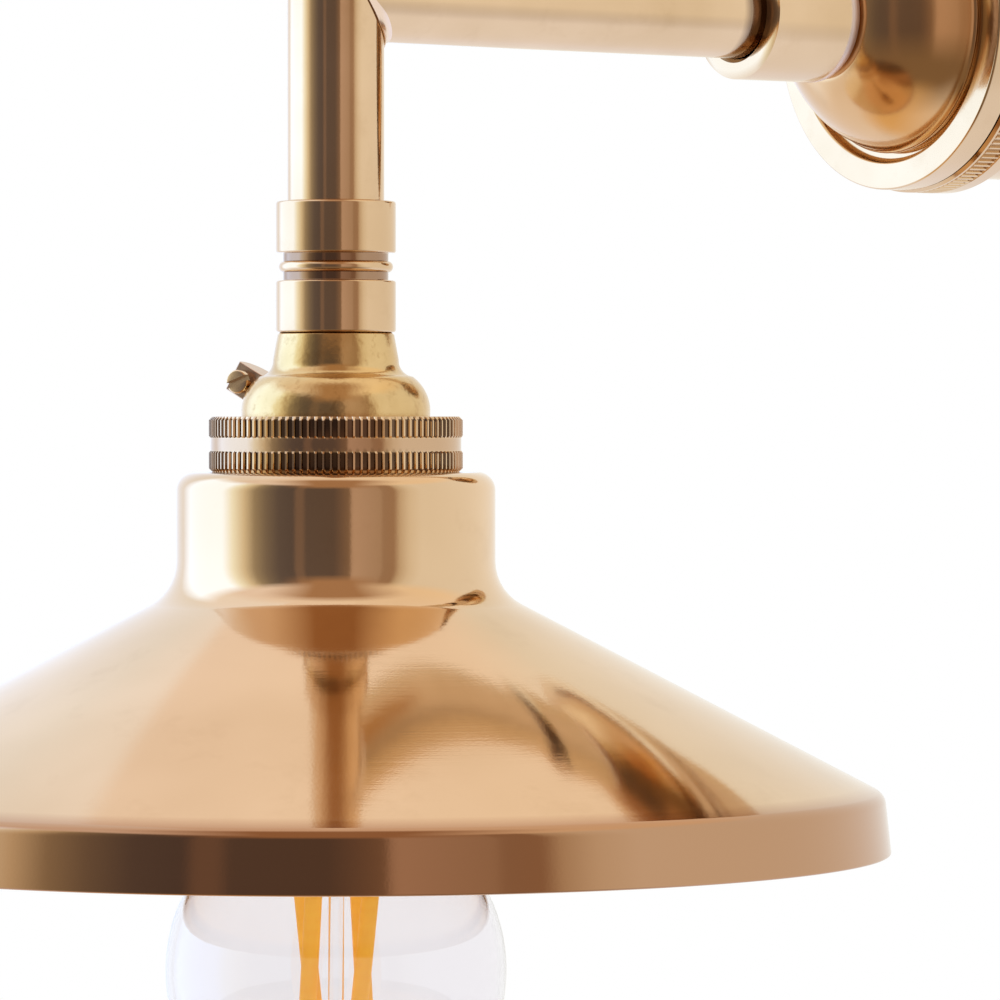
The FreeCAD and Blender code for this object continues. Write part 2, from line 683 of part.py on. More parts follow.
def build_coupler():
    outer = dim.couplerOd / 2
    waist = dim.couplerWaist / 2
    bead = dim.couplerBeadOd / 2
    small = dim.edgeBreak / 2
    upper = coupler_top - dim.couplerBand
    bead_top = upper - dim.couplerGroove
    bead_foot = bead_top - dim.couplerBead
    lower = bead_foot - dim.couplerGroove
    node(on_lamp(turned("Coupler", [
        (tapped_r, coupler_bottom), (outer - small, coupler_bottom), (outer, coupler_bottom + small),
        (outer, lower - small), (outer - small, lower), (waist, lower),
        (waist, bead_foot, arc_radius(dim.couplerBead, bead - waist), RIGHT), (waist, bead_top),
        (waist, upper), (outer - small, upper),
        (outer, upper + small), (outer, coupler_top - small), (outer - small, coupler_top),
        (tapped_r, coupler_top),
    ])), "coupler")


def build_drop_nipple():
    """The nipple is plain where it is screwed into the drop tube's tapped end."""
    high = coupler_top + dim.dropNippleUp
    low = neck_top - dim.dropNippleDown
    inner = dim.nippleBore / 2
    tube_end = bore_r - dim.threadFit
    node(on_lamp(turned("DropNipple", [
        (inner, low), (thread_r, low), (thread_r, coupler_top), (tube_end, coupler_top),
        (tube_end, high), (inner, high),
    ])), "drop_nipple")


# Lampholder cap and its earth terminal

def holder_cap_outside():
    """Corners of the holder cap's outside, from the neck's top edge down to the dome's foot."""
    neck = dim.neckOd / 2
    foot = dim.neckFoot / 2
    crease = dim.creaseOd / 2
    dome = dim.holderDomeOd / 2
    return [
        (dome, neck_top - dim.holderDomeDrop, dim.holderDomeBow, RIGHT),
        (crease, neck_top - dim.creaseDrop, dim.neckSweep, LEFT),
        (foot, neck_top - dim.neckHeight),
        (neck, neck_top - dim.edgeBreak),
        (neck - dim.edgeBreak, neck_top),
    ]


def lug_frame():
    """Origin at the lug's foot: X out along its axis, Y out of its flat face, Z up the slope."""
    turn = math.radians(dim.lugTurn.value)
    rise = math.radians(dim.lugRise.value)
    foot = Vector(dim.lugFoot.value, 0, (neck_top - dim.lugFootDrop).value)
    origin = Vector(
        foot.x * math.cos(turn),
        foot.x * math.sin(turn) - dim.projection.value,
        foot.z,
    )
    tilt = Rotation(Vector(0, 0, 1), math.degrees(turn)) * Rotation(Vector(0, 1, 0), -math.degrees(rise))
    return Placement(origin, tilt)


def in_lug_frame(base, direction):
    """A placement in the lug's own frame: base, and the direction of the piece's Z axis."""
    frame = lug_frame()
    turned_to = Placement(Vector(*[as_size(value).value for value in base]),
                          Rotation(Vector(0, 0, 1), direction))
    return frame.multiply(turned_to)


def lug_rod(name, radius, length, base, direction):
    """A round bar placed in the earth lug's frame."""
    item = doc.addObject("Part::Cylinder", name)
    bind(item, {"Radius": radius, "Height": length})
    item.Placement = in_lug_frame(base, direction)
    return item


def build_holder_cap():
    wall = dim.holderDomeWall
    dome = dim.holderDomeOd / 2
    crease = dim.creaseOd / 2
    thread_end = neck_top - dim.neckThread
    flange = dim.capFlangeOd / 2
    body = on_lamp(turned("HolderCapBody", [
        (dome - wall, holder_top), (flange, holder_top), (flange, flange_top), (dome, flange_top),
        *holder_cap_outside(), (tapped_r, neck_top), (tapped_r, thread_end),
        (crease - wall, thread_end - wall, dim.holderDomeBow - wall, LEFT),
        (dome - wall, neck_top - dim.holderDomeDrop),
    ]))
    hole = lug_rod("LugWireHole", dim.lugBore / 2, dim.lugReach, (-dim.lugBore, 0, 0), Vector(1, 0, 0))
    node(cut("HolderCap", body, hole), "holder_cap")


def build_earth_lug():
    """A half-round block on the dome: flat in front, with a wire bore and a cross screw."""
    inside = -dim.lugRoot
    face = dim.lugFace
    block = padded("LugBlock", [
        (dim.lugReach, face), (inside, face), (inside, -face, dim.lugRound, RIGHT),
    ], dim.lugWidth)
    block.Placement = in_lug_frame((0, 0, -dim.lugWidth / 2), Vector(0, 0, 1))
    dome = on_lamp(turned("LugDomeShape", [
        (0, neck_top - dim.holderDomeDrop), *holder_cap_outside(), (0, neck_top),
    ]))
    bore = lug_rod("LugBore", dim.lugBore / 2, dim.lugReach + dim.lugRoot,
                   (-dim.lugBore, 0, 0), Vector(1, 0, 0))
    screw_hole = lug_rod("LugScrewHole", dim.earthScrewOd / 2 + dim.threadFit, dim.lugFace * 2,
                         (dim.lugScrewOut, 0, 0), Vector(0, 1, 0))
    node(cut("EarthLug", block, dome, bore, screw_hole), "earth_lug")


def build_earth_screw():
    """Headless screw in the lug's flat face, with a slot across its end."""
    tip = dim.wireOd / 2 + dim.faceFit
    length = dim.lugFace + dim.earthScrewProud - tip
    blank = lug_rod("EarthScrewBlank", dim.earthScrewOd / 2, length, (dim.lugScrewOut, tip, 0),
                    Vector(0, 1, 0))
    across = dim.earthScrewOd.value * 2
    wide = dim.earthSlot.value
    deep = dim.earthSlotDeep.value
    slot_shape = Part.makeBox(across, deep * 2, wide, Vector(-across / 2, -deep, -wide / 2))
    end = (dim.lugScrewOut.value, (dim.lugFace + dim.earthScrewProud).value, 0)
    turn = Rotation(Vector(0, 1, 0), dim.earthSlotTurn.value)
    slot = shaped("EarthScrewSlot", slot_shape, lug_frame().multiply(Placement(Vector(*end), turn)))
    node(cut("EarthScrew", blank, slot), "earth_screw")


def build_cap_ring():
    """Two fluted bands with a plain groove between; an inward lip draws the cap's flange down."""
    radius = (dim.ringOd / 2).value
    bevel = dim.ringBevel.value
    depth = dim.fluteDepth.value
    low = ring_bottom.value
    high = ring_top.value
    bore = (dim.holderOd / 2 + dim.threadFit).value
    lip = (dim.holderDomeOd / 2 + dim.ringLipFit).value
    lip_under = flange_top.value
    chamfered = turned_shape([
        (bore, low), (radius - bevel, low), (radius, low + bevel), (radius, high - bevel),
        (radius - bevel, high), (lip, high), (lip, lip_under), (bore, lip_under),
    ])
    fluted = fluted_prism(radius, depth, dim.flutePitch.value, lip, low, high)
    groove = turned_shape([
        (bore, low + dim.ringBand.value), (dim.ringGrooveOd.value / 2, low + dim.ringBand.value),
        (dim.ringGrooveOd.value / 2, high - dim.ringBand.value), (bore, high - dim.ringBand.value),
    ])
    band_gap = turned_shape([
        (dim.ringGrooveOd.value / 2, low + dim.ringBand.value), (radius * 2, low + dim.ringBand.value),
        (radius * 2, high - dim.ringBand.value), (dim.ringGrooveOd.value / 2, high - dim.ringBand.value),
    ])
    ring = chamfered.common(fluted).fuse(groove).cut(band_gap).removeSplitter()
    node(shaped("CapRing", ring, Placement(Vector(0, -dim.projection.value, 0), Rotation())), "cap_ring")


# Holder body and its contacts

def bayonet_slots():
    """Cutter of both J slots: entry from the mouth, a channel, and the hook that holds the pin."""
    half = dim.slotWide.value / 2
    reach = dim.slotDeep.value / 2
    start = dim.holderBore.value / 2 - half
    pin_r = dim.pinOd.value / 2
    hook_floor = pin_level.value - pin_r - dim.hookFit.value
    channel_top = pin_level.value + dim.pressTravel.value + half
    channel_floor = channel_top - 2 * half
    mouth = (holder_top - dim.holderMouth).value
    hook = Part.makeBox(reach - start, 2 * half, channel_top - hook_floor, Vector(start, -half, hook_floor))
    below = mouth - dim.cutOver.value
    entry = Part.makeBox(reach - start, 2 * half, channel_top - below, Vector(start, -half, below))
    entry.rotate(Vector(), Vector(0, 0, 1), -dim.slotTurn.value)
    channel = Part.makeCylinder(reach, 2 * half, Vector(0, 0, channel_floor), Vector(0, 0, 1),
                                dim.slotTurn.value)
    channel.rotate(Vector(), Vector(0, 0, 1), -dim.slotTurn.value)
    one = hook.fuse([entry, channel])
    other = one.copy()
    other.rotate(Vector(), Vector(0, 0, 1), 180)
    return Part.makeCompound([one, other])


def build_holder_body():
    outer = dim.holderOd / 2
    bore = dim.holderBore / 2
    top_bore = dim.holderTopBore / 2
    mouth = holder_top - dim.holderMouth
    body = on_lamp(turned("HolderBodyBlank", [
        (bore, mouth), (outer - dim.edgeBreak, mouth), (outer, mouth + dim.edgeBreak),
        (outer, holder_top), (top_bore, holder_top), (top_bore, shoulder), (bore, shoulder),
    ]))
    under_lamp = Placement(Vector(0, -dim.projection.value, 0), Rotation())
    slots = shaped("BayonetSlots", bayonet_slots(), under_lamp)
    node(cut("HolderBody", body, slots), "holder_body")


SIDES = (("live", -1), ("neutral", 1))


def contact_place(side):
    return dim.plungerSpacing / 2 * side


def build_insulator():
    outer = dim.holderTopBore / 2 - dim.slipFit
    rim = outer - dim.insulatorRim
    blank = on_lamp(turned("InsulatorBlank", [
        (0, shoulder), (outer, shoulder), (outer, holder_top), (rim, holder_top),
        (rim, insulator_top), (0, insulator_top),
    ]))
    bores = []
    chamber_floor = shoulder + dim.insulatorSill
    for name, side in SIDES:
        centre = contact_place(side) - dim.projection
        bores.append(rod(f"StemBore_{name}", dim.plungerStem / 2 + dim.threadFit,
                         dim.holderShoulder, (0, centre, shoulder - dim.cutOver)))
        bores.append(rod(f"Chamber_{name}", dim.plungerHead / 2 + dim.threadFit,
                         dim.holderShoulder, (0, centre, chamber_floor)))
    node(cut("Insulator", blank, *bores), "holder_insulator")


def build_plunger(name, side):
    head_under = shoulder + dim.insulatorSill + dim.plungerSpare
    stem = dim.plungerStem / 2
    head = dim.plungerHead / 2
    top = head_under + dim.plungerHeadThick
    node(on_lamp(turned(f"Plunger_{name}", [
        (0, contact_top), (stem, contact_top), (stem, head_under), (head, head_under), (head, top), (0, top),
    ]), along=contact_place(side)), f"plunger_{name}")


def tangent_arcs(start, start_way, end, end_way):
    """Two arcs that leave start along start_way and reach end along end_way."""
    gap = end - start
    ways = start_way + end_way
    a = ways.dot(ways) - 4
    b = -2 * gap.dot(ways)
    c = gap.dot(gap)
    reach = (-b - math.sqrt(b * b - 4 * a * c)) / (2 * a)
    first = start + start_way * reach
    second = end - end_way * reach
    middle = (first + second) / 2
    edges = []
    for from_point, turn_point, to_point in ((start, first, middle), (middle, second, end)):
        base = (from_point + to_point) / 2
        rise = turn_point - base
        half = (to_point - from_point).Length / 2
        bow = rise * (half * (math.hypot(half, rise.Length) - half) / rise.Length ** 2)
        edges.append(Part.Arc(from_point, base + bow, to_point).toShape())
    return edges


def coil(radius, wire, turns, low, high):
    """One unbroken helix of round wire, made of two arcs to each quarter turn."""
    steps = int(round(turns * 4))
    climb = (high - low - wire) / steps
    pitch_rise = climb / (math.pi / 2)
    points = []
    ways = []
    for step in range(steps + 1):
        angle = step * math.pi / 2
        level = low + wire / 2 + step * climb
        points.append(Vector(radius * math.cos(angle), radius * math.sin(angle), level))
        ways.append(Vector(-radius * math.sin(angle), radius * math.cos(angle), pitch_rise).normalize())
    edges = []
    for step in range(steps):
        edges += tangent_arcs(points[step], ways[step], points[step + 1], ways[step + 1])
    path = Part.Wire(edges)
    section = Part.Wire(Part.Circle(points[0], ways[0], wire / 2).toShape())
    return path.makePipeShell([section], True, False), path.Length


def build_spring(name, side):
    low = (shoulder + dim.insulatorSill + dim.plungerSpare + dim.plungerHeadThick).value
    high = insulator_top.value
    wire = dim.springWire.value
    radius = (dim.springOd / 2 - dim.springWire / 2).value
    shape, length = coil(radius, wire, dim.springTurns.value, low, high)
    climb = (high - low - wire) / dim.springTurns.value
    print(f"spring_{name}: least gap between turns {climb - wire:.2f} mm, volume {shape.Volume:.3f} of "
          f"{length * math.pi * wire ** 2 / 4:.3f} mm3")
    place = Placement(Vector(0, (contact_place(side) - dim.projection).value, 0), Rotation())
    node(shaped(f"Spring_{name}", shape, place), f"plunger_spring_{name}")


def build_terminal(name, side):
    """Brass block over a plunger, with a wire bore from above and a screw from outside."""
    block = padded(f"Terminal_{name}", box_corners(dim.terminalWide, dim.terminalLong), dim.terminalTall)
    on_lamp(block, along=contact_place(side), height=insulator_top)
    centre = contact_place(side) - dim.projection
    top = insulator_top + dim.terminalTall
    bore = rod(f"TerminalBore_{name}", dim.terminalBore / 2, dim.terminalTall,
               (0, centre, top - dim.terminalBoreDeep))
    outward = Rotation(Vector(1, 0, 0), -90 * side)
    screw_hole = rod(f"TerminalScrewHole_{name}", dim.terminalScrewOd / 2 + dim.threadFit,
                     dim.terminalLong, (0, centre, top - dim.terminalBoreDeep / 2), outward)
    node(cut(f"TerminalCut_{name}", block, bore, screw_hole), f"terminal_{name}")


def build_terminal_screws():
    """Both terminal screws, which are the same."""
    screws = []
    top = insulator_top + dim.terminalTall
    for name, side in SIDES:
        outward = Rotation(Vector(1, 0, 0), -90 * side)
        face = dim.terminalLong / 2
        tip = dim.wireOd / 2 + dim.faceFit
        screw = turned(f"TerminalScrew_{name}", [
            (0, tip), (dim.terminalScrewOd / 2, tip), (dim.terminalScrewOd / 2, face),
            (dim.terminalScrewHeadOd / 2, face), (dim.terminalScrewHeadOd / 2, face + dim.terminalScrewHead),
            (0, face + dim.terminalScrewHead),
        ])
        screw.Placement = Placement(Vector(), outward)
        on_lamp(screw, along=contact_place(side), height=top - dim.terminalBoreDeep / 2)
        screws.append(screw)
    both = doc.addObject("Part::Compound", "TerminalScrews")
    both.Links = screws
    node(both, "terminal_screws")


# Shade and its ring

def edge_names(shape, radius, height):
    """Names of the round edges of a turned shape at one radius and height."""
    return [
        f"Edge{index}" for index, edge in enumerate(shape.Edges, start=1)
        if isinstance(edge.Curve, Part.Circle)
        and abs(edge.Curve.Radius - as_size(radius).value) < SAME
        and abs(edge.Curve.Center.z - as_size(height).value) < SAME
    ]


def rounded(body, name, radius, height, rounding):
    """Round a turned body's edge at a radius and a height of its own frame."""
    doc.recompute()
    before = body.Tip
    fillet = body.newObject("PartDesign::Fillet", name)
    fillet.Base = (before, edge_names(before.Shape, radius, height))
    bind(fillet, {"Radius": rounding})
    body.Tip = fillet


def build_shade():
    """Spun sheet: flat top with the holder's hole, upright gallery, shallow cone and flared rim band."""
    wall = dim.shadeWall
    hole = dim.shadeHole / 2
    gallery = dim.galleryOd / 2
    corner = shade_top - dim.galleryHeight
    shoulder_r = dim.shoulderOd / 2
    shoulder_level = shade_top - dim.shoulderDrop
    rim = dim.rimOd / 2
    rim_level = shade_top - dim.shadeHeight
    slope = (dim.shoulderDrop - dim.galleryHeight) / (shoulder_r - gallery)
    drop = wall * root(slope * slope + 1) - wall * slope
    body = on_lamp(turned("ShadeBlank", [
        (hole, shade_top), (gallery, shade_top), (gallery, corner), (shoulder_r, shoulder_level),
        (rim, rim_level), (rim - wall, rim_level), (shoulder_r - wall, shoulder_level - drop),
        (gallery - wall, corner - drop), (gallery - wall, shade_under), (hole, shade_under),
    ]))
    rounded(body, "GalleryTop", gallery, shade_top, dim.galleryRound)
    rounded(body, "GalleryTopInside", gallery - wall, shade_under, dim.galleryRound - wall)
    rounded(body, "GalleryFoot", gallery, corner, dim.gallerySweep)
    rounded(body, "GalleryFootInside", gallery - wall, corner - drop, dim.gallerySweep + wall)
    rounded(body, "Shoulder", shoulder_r, shoulder_level, dim.shoulderRound)
    rounded(body, "ShoulderInside", shoulder_r - wall, shoulder_level - drop, dim.shoulderRound - wall)
    node(body, "shade")


def build_shade_ring():
    """Fluted ring that is screwed up the holder body and holds the shade."""
    radius = (dim.shadeRingOd / 2).value
    bore = (dim.holderOd / 2 + dim.threadFit).value
    high = (shade_under - dim.faceFit).value
    low = high - dim.shadeRingLength.value
    fluted = fluted_prism(radius, dim.fluteDepth.value, dim.shadeRingPitch.value, bore, low, high)
    ring = chamfered_ring(radius, bore, low, high, dim.ringBevel.value).common(fluted)
    node(shaped("ShadeRing", ring, Placement(Vector(0, -dim.projection.value, 0), Rotation())), "shade_ring")


# Bulb

base_top = contact_top - dim.bulbContactProud
cap_top = base_top - dim.bulbBaseProud
cap_bottom = cap_top - dim.bulbCapLength
neck_end = cap_bottom + dim.bulbNeckIn
globe_centre = contact_top - dim.bulbLength + dim.bulbOd / 2
filament_top = contact_top - dim.filamentTopDrop
filament_foot = filament_top - dim.filamentLength


def build_bulb_cap():
    outer = dim.bulbCapOd / 2
    inner = outer - dim.bulbCapWall
    shell = on_lamp(sleeve("BulbCapShell", outer, inner, cap_bottom, cap_top))
    sideways = Rotation(Vector(0, 1, 0), 90)
    pin_hole = rod("BulbPinHoles", dim.pinOd / 2, dim.pinSpan, (-dim.pinSpan / 2, -dim.projection, pin_level),
                   sideways)
    node(cut("BulbCap", shell, pin_hole), "bulb_cap")
    length = dim.pinSpan / 2 - inner
    node(rod("BulbPinLeft", dim.pinOd / 2, length, (-dim.pinSpan / 2, -dim.projection, pin_level),
             sideways), "bulb_pin_left")
    node(rod("BulbPinRight", dim.pinOd / 2, length, (inner, -dim.projection, pin_level),
             sideways), "bulb_pin_right")


def build_bulb_base():
    outer = dim.bulbCapOd / 2 - dim.bulbCapWall - dim.slipFit
    under = base_top - dim.bulbBaseThick
    node(on_lamp(turned("BulbBase", [
        (0, under), (outer, under), (outer, cap_top), (outer - dim.bulbBaseProud, base_top), (0, base_top),
    ])), "bulb_base")
    for name, side in SIDES:
        contact = rod(f"BulbContact_{name}", dim.bulbContactOd / 2, dim.bulbContactProud,
                      (0, contact_place(side) - dim.projection, base_top))
        node(contact, f"bulb_contact_{name}")


def build_driver():
    tall = dim.driverTall
    board = padded("DriverBoard", box_corners(dim.driverWide, dim.driverThick), tall)
    on_lamp(board, height=base_top - dim.bulbBaseThick - tall)
    node(board, "bulb_driver")


def globe_points(neck, globe, sweep):
    """Where the hollow sweep leaves the neck and where it meets the globe."""
    centre_r = neck + sweep
    reach = globe + sweep
    rise = root(reach * reach - centre_r * centre_r)
    return globe_centre + rise, centre_r * globe / reach, globe_centre + rise * globe / reach


def build_bulb_glass():
    neck = dim.bulbNeckOd / 2
    globe = dim.bulbOd / 2
    wall = dim.bulbWall
    leave, meet_r, meet = globe_points(neck, globe, dim.bulbSweep)
    leave_in, meet_in_r, meet_in = globe_points(neck - wall, globe - wall, dim.bulbSweep + wall)
    node(on_lamp(turned("BulbGlass", [
        (neck - wall, neck_end), (neck - wall, leave_in, dim.bulbSweep + wall, RIGHT),
        (meet_in_r, meet_in, globe - wall, LEFT), (0, globe_centre - globe + wall),
        (0, globe_centre - globe, globe, RIGHT), (meet_r, meet, dim.bulbSweep, LEFT),
        (neck, leave), (neck, neck_end),
    ])), "bulb_glass")


def build_stem():
    rod_r = dim.stemOd / 2
    tube = dim.stemTubeOd / 2
    tube_end = neck_end - dim.stemTubeLength
    end = filament_foot - dim.supportHub
    node(on_lamp(turned("BulbStem", [
        (0, end), (rod_r, end), (rod_r, tube_end), (tube, tube_end), (tube, neck_end),
        (dim.bulbNeckOd / 2, neck_end), (dim.bulbNeckOd / 2, neck_end + dim.stemDisc),
        (0, neck_end + dim.stemDisc),
    ])), "bulb_stem")


def ring_point(radius, turn, height):
    angle = math.radians(turn)
    return Vector(radius * math.cos(angle), radius * math.sin(angle) - dim.projection.value, height)


def build_filaments():
    """Straight LED filaments that lean the same way round the stem."""
    count = int(dim.filamentCount.value)
    for index in range(count):
        step = 360 / count * index
        top = ring_point(dim.filamentTopR.value, dim.filamentTopTurn.value + step, filament_top.value)
        foot = ring_point(dim.filamentFootR.value, dim.filamentFootTurn.value + step, filament_foot.value)
        bar = doc.addObject("Part::Cylinder", f"Filament{index + 1}")
        bind(bar, {"Radius": dim.filamentOd / 2})
        bar.Height = (top - foot).Length
        bar.Placement = Placement(foot, Rotation(Vector(0, 0, 1), top - foot))
        node(bar, f"led_filament_{index + 1}")


def build_support(name, level, reach, first_turn):
    """A hub on the stem with a wire to each filament."""
    half = dim.supportHub.value / 2
    wire = dim.supportWire.value / 2
    hub_r = dim.supportHubOd.value / 2
    middle = Vector(0, -dim.projection.value, level)
    base = middle - Vector(0, 0, half)
    hub = Part.makeCylinder(hub_r, half * 2, base)
    hub = hub.cut(Part.makeCylinder(dim.stemOd.value / 2, half * 2, base))
    count = int(dim.filamentCount.value)
    wires = []
    for index in range(count):
        end = ring_point(reach, first_turn + 360 / count * index, level)
        way = (end - middle).normalize()
        wires.append(Part.makeCylinder(wire, reach - hub_r + wire, middle + way * (hub_r - wire), way))
    node(shaped(f"Support_{name}", hub.fuse(wires)), f"filament_support_{name}")


def build_supports():
    """The wires clear the slanting ends of the leaning filaments."""
    top = ring_point(dim.filamentTopR.value, dim.filamentTopTurn.value, filament_top.value)
    foot = ring_point(dim.filamentFootR.value, dim.filamentFootTurn.value, filament_foot.value)
    lean = math.hypot(top.x - foot.x, top.y - foot.y) / (top - foot).Length
    lift = dim.supportWire.value / 2 + dim.supportFit.value + dim.filamentOd.value / 2 * lean
    build_support("top", filament_top.value + lift, dim.filamentTopR.value, dim.filamentTopTurn.value)
    build_support("foot", filament_foot.value - lift, dim.filamentFootR.value, dim.filamentFootTurn.value)


# Wires inside the tubes

def wire_path(points, radii):
    """Straight runs through the points, with a tangent arc of each radius at the inner points."""
    edges = []
    here = points[0]
    for index, radius in enumerate(radii, start=1):
        corner = points[index]
        back = (points[index - 1] - corner).normalize()
        onward = (points[index + 1] - corner).normalize()
        half_turn = (math.pi - back.getAngle(onward)) / 2
        tangent = radius * math.tan(half_turn)
        start = corner + back * tangent
        end = corner + onward * tangent
        inward = (back + onward).normalize()
        middle = corner + inward * (radius / math.cos(half_turn) - radius)
        edges.append(Part.LineSegment(here, start).toShape())
        edges.append(Part.Arc(start, middle, end).toShape())
        here = end
    edges.append(Part.LineSegment(here, points[-1]).toShape())
    return Part.Wire(edges)


def build_wire(name, points, radii):
    path = wire_path(points, radii)
    radius = dim.wireOd.value / 2
    section = Part.Wire(Part.Circle(points[0], points[1] - points[0], radius).toShape())
    shape = path.makePipeShell([section], True, False)
    straight = path.Length * math.pi * radius ** 2
    print(f"{name}: bend radii {radii}, volume {shape.Volume:.2f} of {straight:.2f} mm3")
    node(shaped(name, shape), name)


def build_wires():
    """Earth, live and neutral: along the arm, down the drop tube and on to their terminals."""
    wall = -dim.wireTail.value
    lamp = -dim.projection.value
    spread = dim.wireSpacing.value
    out = -dim.wireTurnOut.value
    down = -dim.wireTurnDown.value
    tip = (insulator_top + dim.terminalTall - dim.terminalBoreDeep).value
    radii = [dim.wireBend.value, dim.wireSwan.value, dim.wireSwan.value]
    for (name, side), across in zip(SIDES, (0, spread)):
        terminal = lamp + contact_place(side).value
        build_wire(f"wire_{name}", [
            Vector(across, wall, 0), Vector(across, lamp, 0), Vector(across, lamp, out),
            Vector(0, terminal, down), Vector(0, terminal, tip),
        ], radii)
    frame = lug_frame()
    lug_end = frame.multVec(Vector(dim.lugReach.value - dim.lugBore.value / 2, 0, 0))
    slope = math.radians(dim.lugRise.value)
    run = frame.multVec(Vector((dim.earthRun - dim.lugFoot).value / math.cos(slope), 0, 0))
    build_wire("wire_earth", [
        Vector(-spread, wall, 0), Vector(-spread, lamp, 0), Vector(-spread, lamp, -dim.earthTurnDepth.value),
        run, lug_end,
    ], [dim.wireBend.value, dim.earthBend.value, dim.earthBend.value])


def build_all():
    build_wall_base()
    build_grommet()
    build_lock_ring()
    build_front_plate()
    build_bell_dome()
    build_collar()
    build_wall_nipple()
    build_backing()
    build_tubes()
    build_bead()
    build_end_cap()
    build_coupler()
    build_drop_nipple()
    build_holder_cap()
    build_earth_lug()
    build_earth_screw()
    build_cap_ring()
    build_holder_body()
    build_insulator()
    for name, side in SIDES:
        build_plunger(name, side)
        build_spring(name, side)
        build_terminal(name, side)
    build_terminal_screws()
    build_shade()
    build_shade_ring()
    build_bulb_cap()
    build_bulb_base()
    build_driver()
    build_bulb_glass()
    build_stem()
    build_filaments()
    build_supports()
    build_wires()


def check_document():
    """Stop at any failed object or unsound sub-part before a file is written."""
    for item in doc.Objects:
        if {"Invalid", "Error"} & set(item.State):
            raise RuntimeError(f"{item.Name} failed: {item.State}")
    for item in sub_parts:
        if item.Shape.isNull() or not item.Shape.isValid() or not item.Shape.Solids:
            raise RuntimeError(f"{item.Label} has no sound shape")


build_all()
doc.recompute()
check_document()
os.makedirs("parts", exist_ok=True)
for item in sub_parts:
    item.Shape.exportStep(f"parts/{item.Label}.step")
    print(f"{item.Label}: {len(item.Shape.Solids)} solid, {item.Shape.Volume:.1f} mm3")
print(len(sub_parts), "sub-parts")
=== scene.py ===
import math
import bpy
from mathutils import Matrix, Vector


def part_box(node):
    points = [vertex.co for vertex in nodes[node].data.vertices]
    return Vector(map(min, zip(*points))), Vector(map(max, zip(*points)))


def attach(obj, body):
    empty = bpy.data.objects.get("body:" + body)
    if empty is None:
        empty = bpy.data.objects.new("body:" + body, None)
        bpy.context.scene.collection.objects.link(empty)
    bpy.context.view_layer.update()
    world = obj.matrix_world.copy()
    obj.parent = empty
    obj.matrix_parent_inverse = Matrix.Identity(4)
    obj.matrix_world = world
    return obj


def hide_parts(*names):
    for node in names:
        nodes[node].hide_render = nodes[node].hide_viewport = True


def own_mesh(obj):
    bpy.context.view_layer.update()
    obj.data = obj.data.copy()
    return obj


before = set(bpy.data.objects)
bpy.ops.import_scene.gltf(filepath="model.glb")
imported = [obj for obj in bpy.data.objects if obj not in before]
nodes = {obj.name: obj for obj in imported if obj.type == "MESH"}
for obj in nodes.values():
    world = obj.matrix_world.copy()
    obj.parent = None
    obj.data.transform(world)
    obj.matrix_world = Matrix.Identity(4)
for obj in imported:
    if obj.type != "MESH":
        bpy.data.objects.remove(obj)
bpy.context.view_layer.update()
mm = 0.001
lampOut = 120   # mm from the wall to the line that the drop tube, lampholder, shade and bulb hang on
lampAxis = Vector((0, -lampOut * mm, 0))
print("CAD model loaded:", len(nodes), "nodes")


# shader maths: a wrapped socket that adds its own Math nodes

class Wire:
    def __init__(self, tree, socket):
        self.tree = tree
        self.socket = socket

    def maths(self, operation, other, flipped=False):
        first, second = (other, self) if flipped else (self, other)
        return addNode(self.tree, "ShaderNodeMath", {"operation": operation}, {0: first, 1: second})

    def __add__(self, other):
        return self.maths("ADD", other)

    def __radd__(self, other):
        return self.maths("ADD", other, True)

    def __sub__(self, other):
        return self.maths("SUBTRACT", other)

    def __rsub__(self, other):
        return self.maths("SUBTRACT", other, True)

    def __mul__(self, other):
        return self.maths("MULTIPLY", other)

    def __truediv__(self, other):
        return self.maths("DIVIDE", other)

    def __pow__(self, other):
        return self.maths("POWER", other)


def addNode(tree, kind, settings=None, values=None, output=0):
    made = tree.nodes.new(kind)
    for key, value in (settings or {}).items():
        if key == "stops":
            stops = made.color_ramp.elements
            while len(stops) < len(value):
                stops.new(1.0)
            for stop, (place, shade) in zip(stops, value):
                stop.position = place
                stop.color = (*shade, 1) if hasattr(shade, "__len__") else (shade, shade, shade, 1)
        elif key == "blend":
            made.color_ramp.interpolation = value
        else:
            setattr(made, key, value)
    for key, value in (values or {}).items():
        if isinstance(value, Wire):
            tree.links.new(value.socket, made.inputs[key])
        else:
            made.inputs[key].default_value = value
    return Wire(tree, made.outputs[output])


def clamp01(value):
    return addNode(value.tree, "ShaderNodeClamp", None, {0: value})


def mixColour(tree, share, first, second):
    opaque = [(*c, 1) if isinstance(c, tuple) and len(c) == 3 else c for c in (first, second)]
    return addNode(tree, "ShaderNodeMix", {"data_type": "RGBA"},
                   {0: share, 6: opaque[0], 7: opaque[1]}, 2)


def noise(tree, vector, scale, detail=2.0, rough=0.5):
    return addNode(tree, "ShaderNodeTexNoise", {"noise_dimensions": "3D"},
                   {"Vector": vector, "Scale": scale, "Detail": detail, "Roughness": rough})


def join3(tree, x, y, z):
    return addNode(tree, "ShaderNodeCombineXYZ", None, {0: x, 1: y, 2: z})


def newMaterial(name):
    material = bpy.data.materials.new(name)
    material.use_nodes = True
    tree = material.node_tree
    tree.nodes.clear()
    return material, tree


def closeMaterial(tree, shader):
    out = tree.nodes.new("ShaderNodeOutputMaterial")
    tree.links.new(shader.socket, out.inputs["Surface"])


def closePrincipled(tree, height, values):
    # one principled surface with a bump of the given height in mm
    bump = addNode(tree, "ShaderNodeBump", None, {"Strength": 1.0, "Distance": mm, "Height": height})
    closeMaterial(tree, addNode(tree, "ShaderNodeBsdfPrincipled", None, {**values, "Normal": bump}))


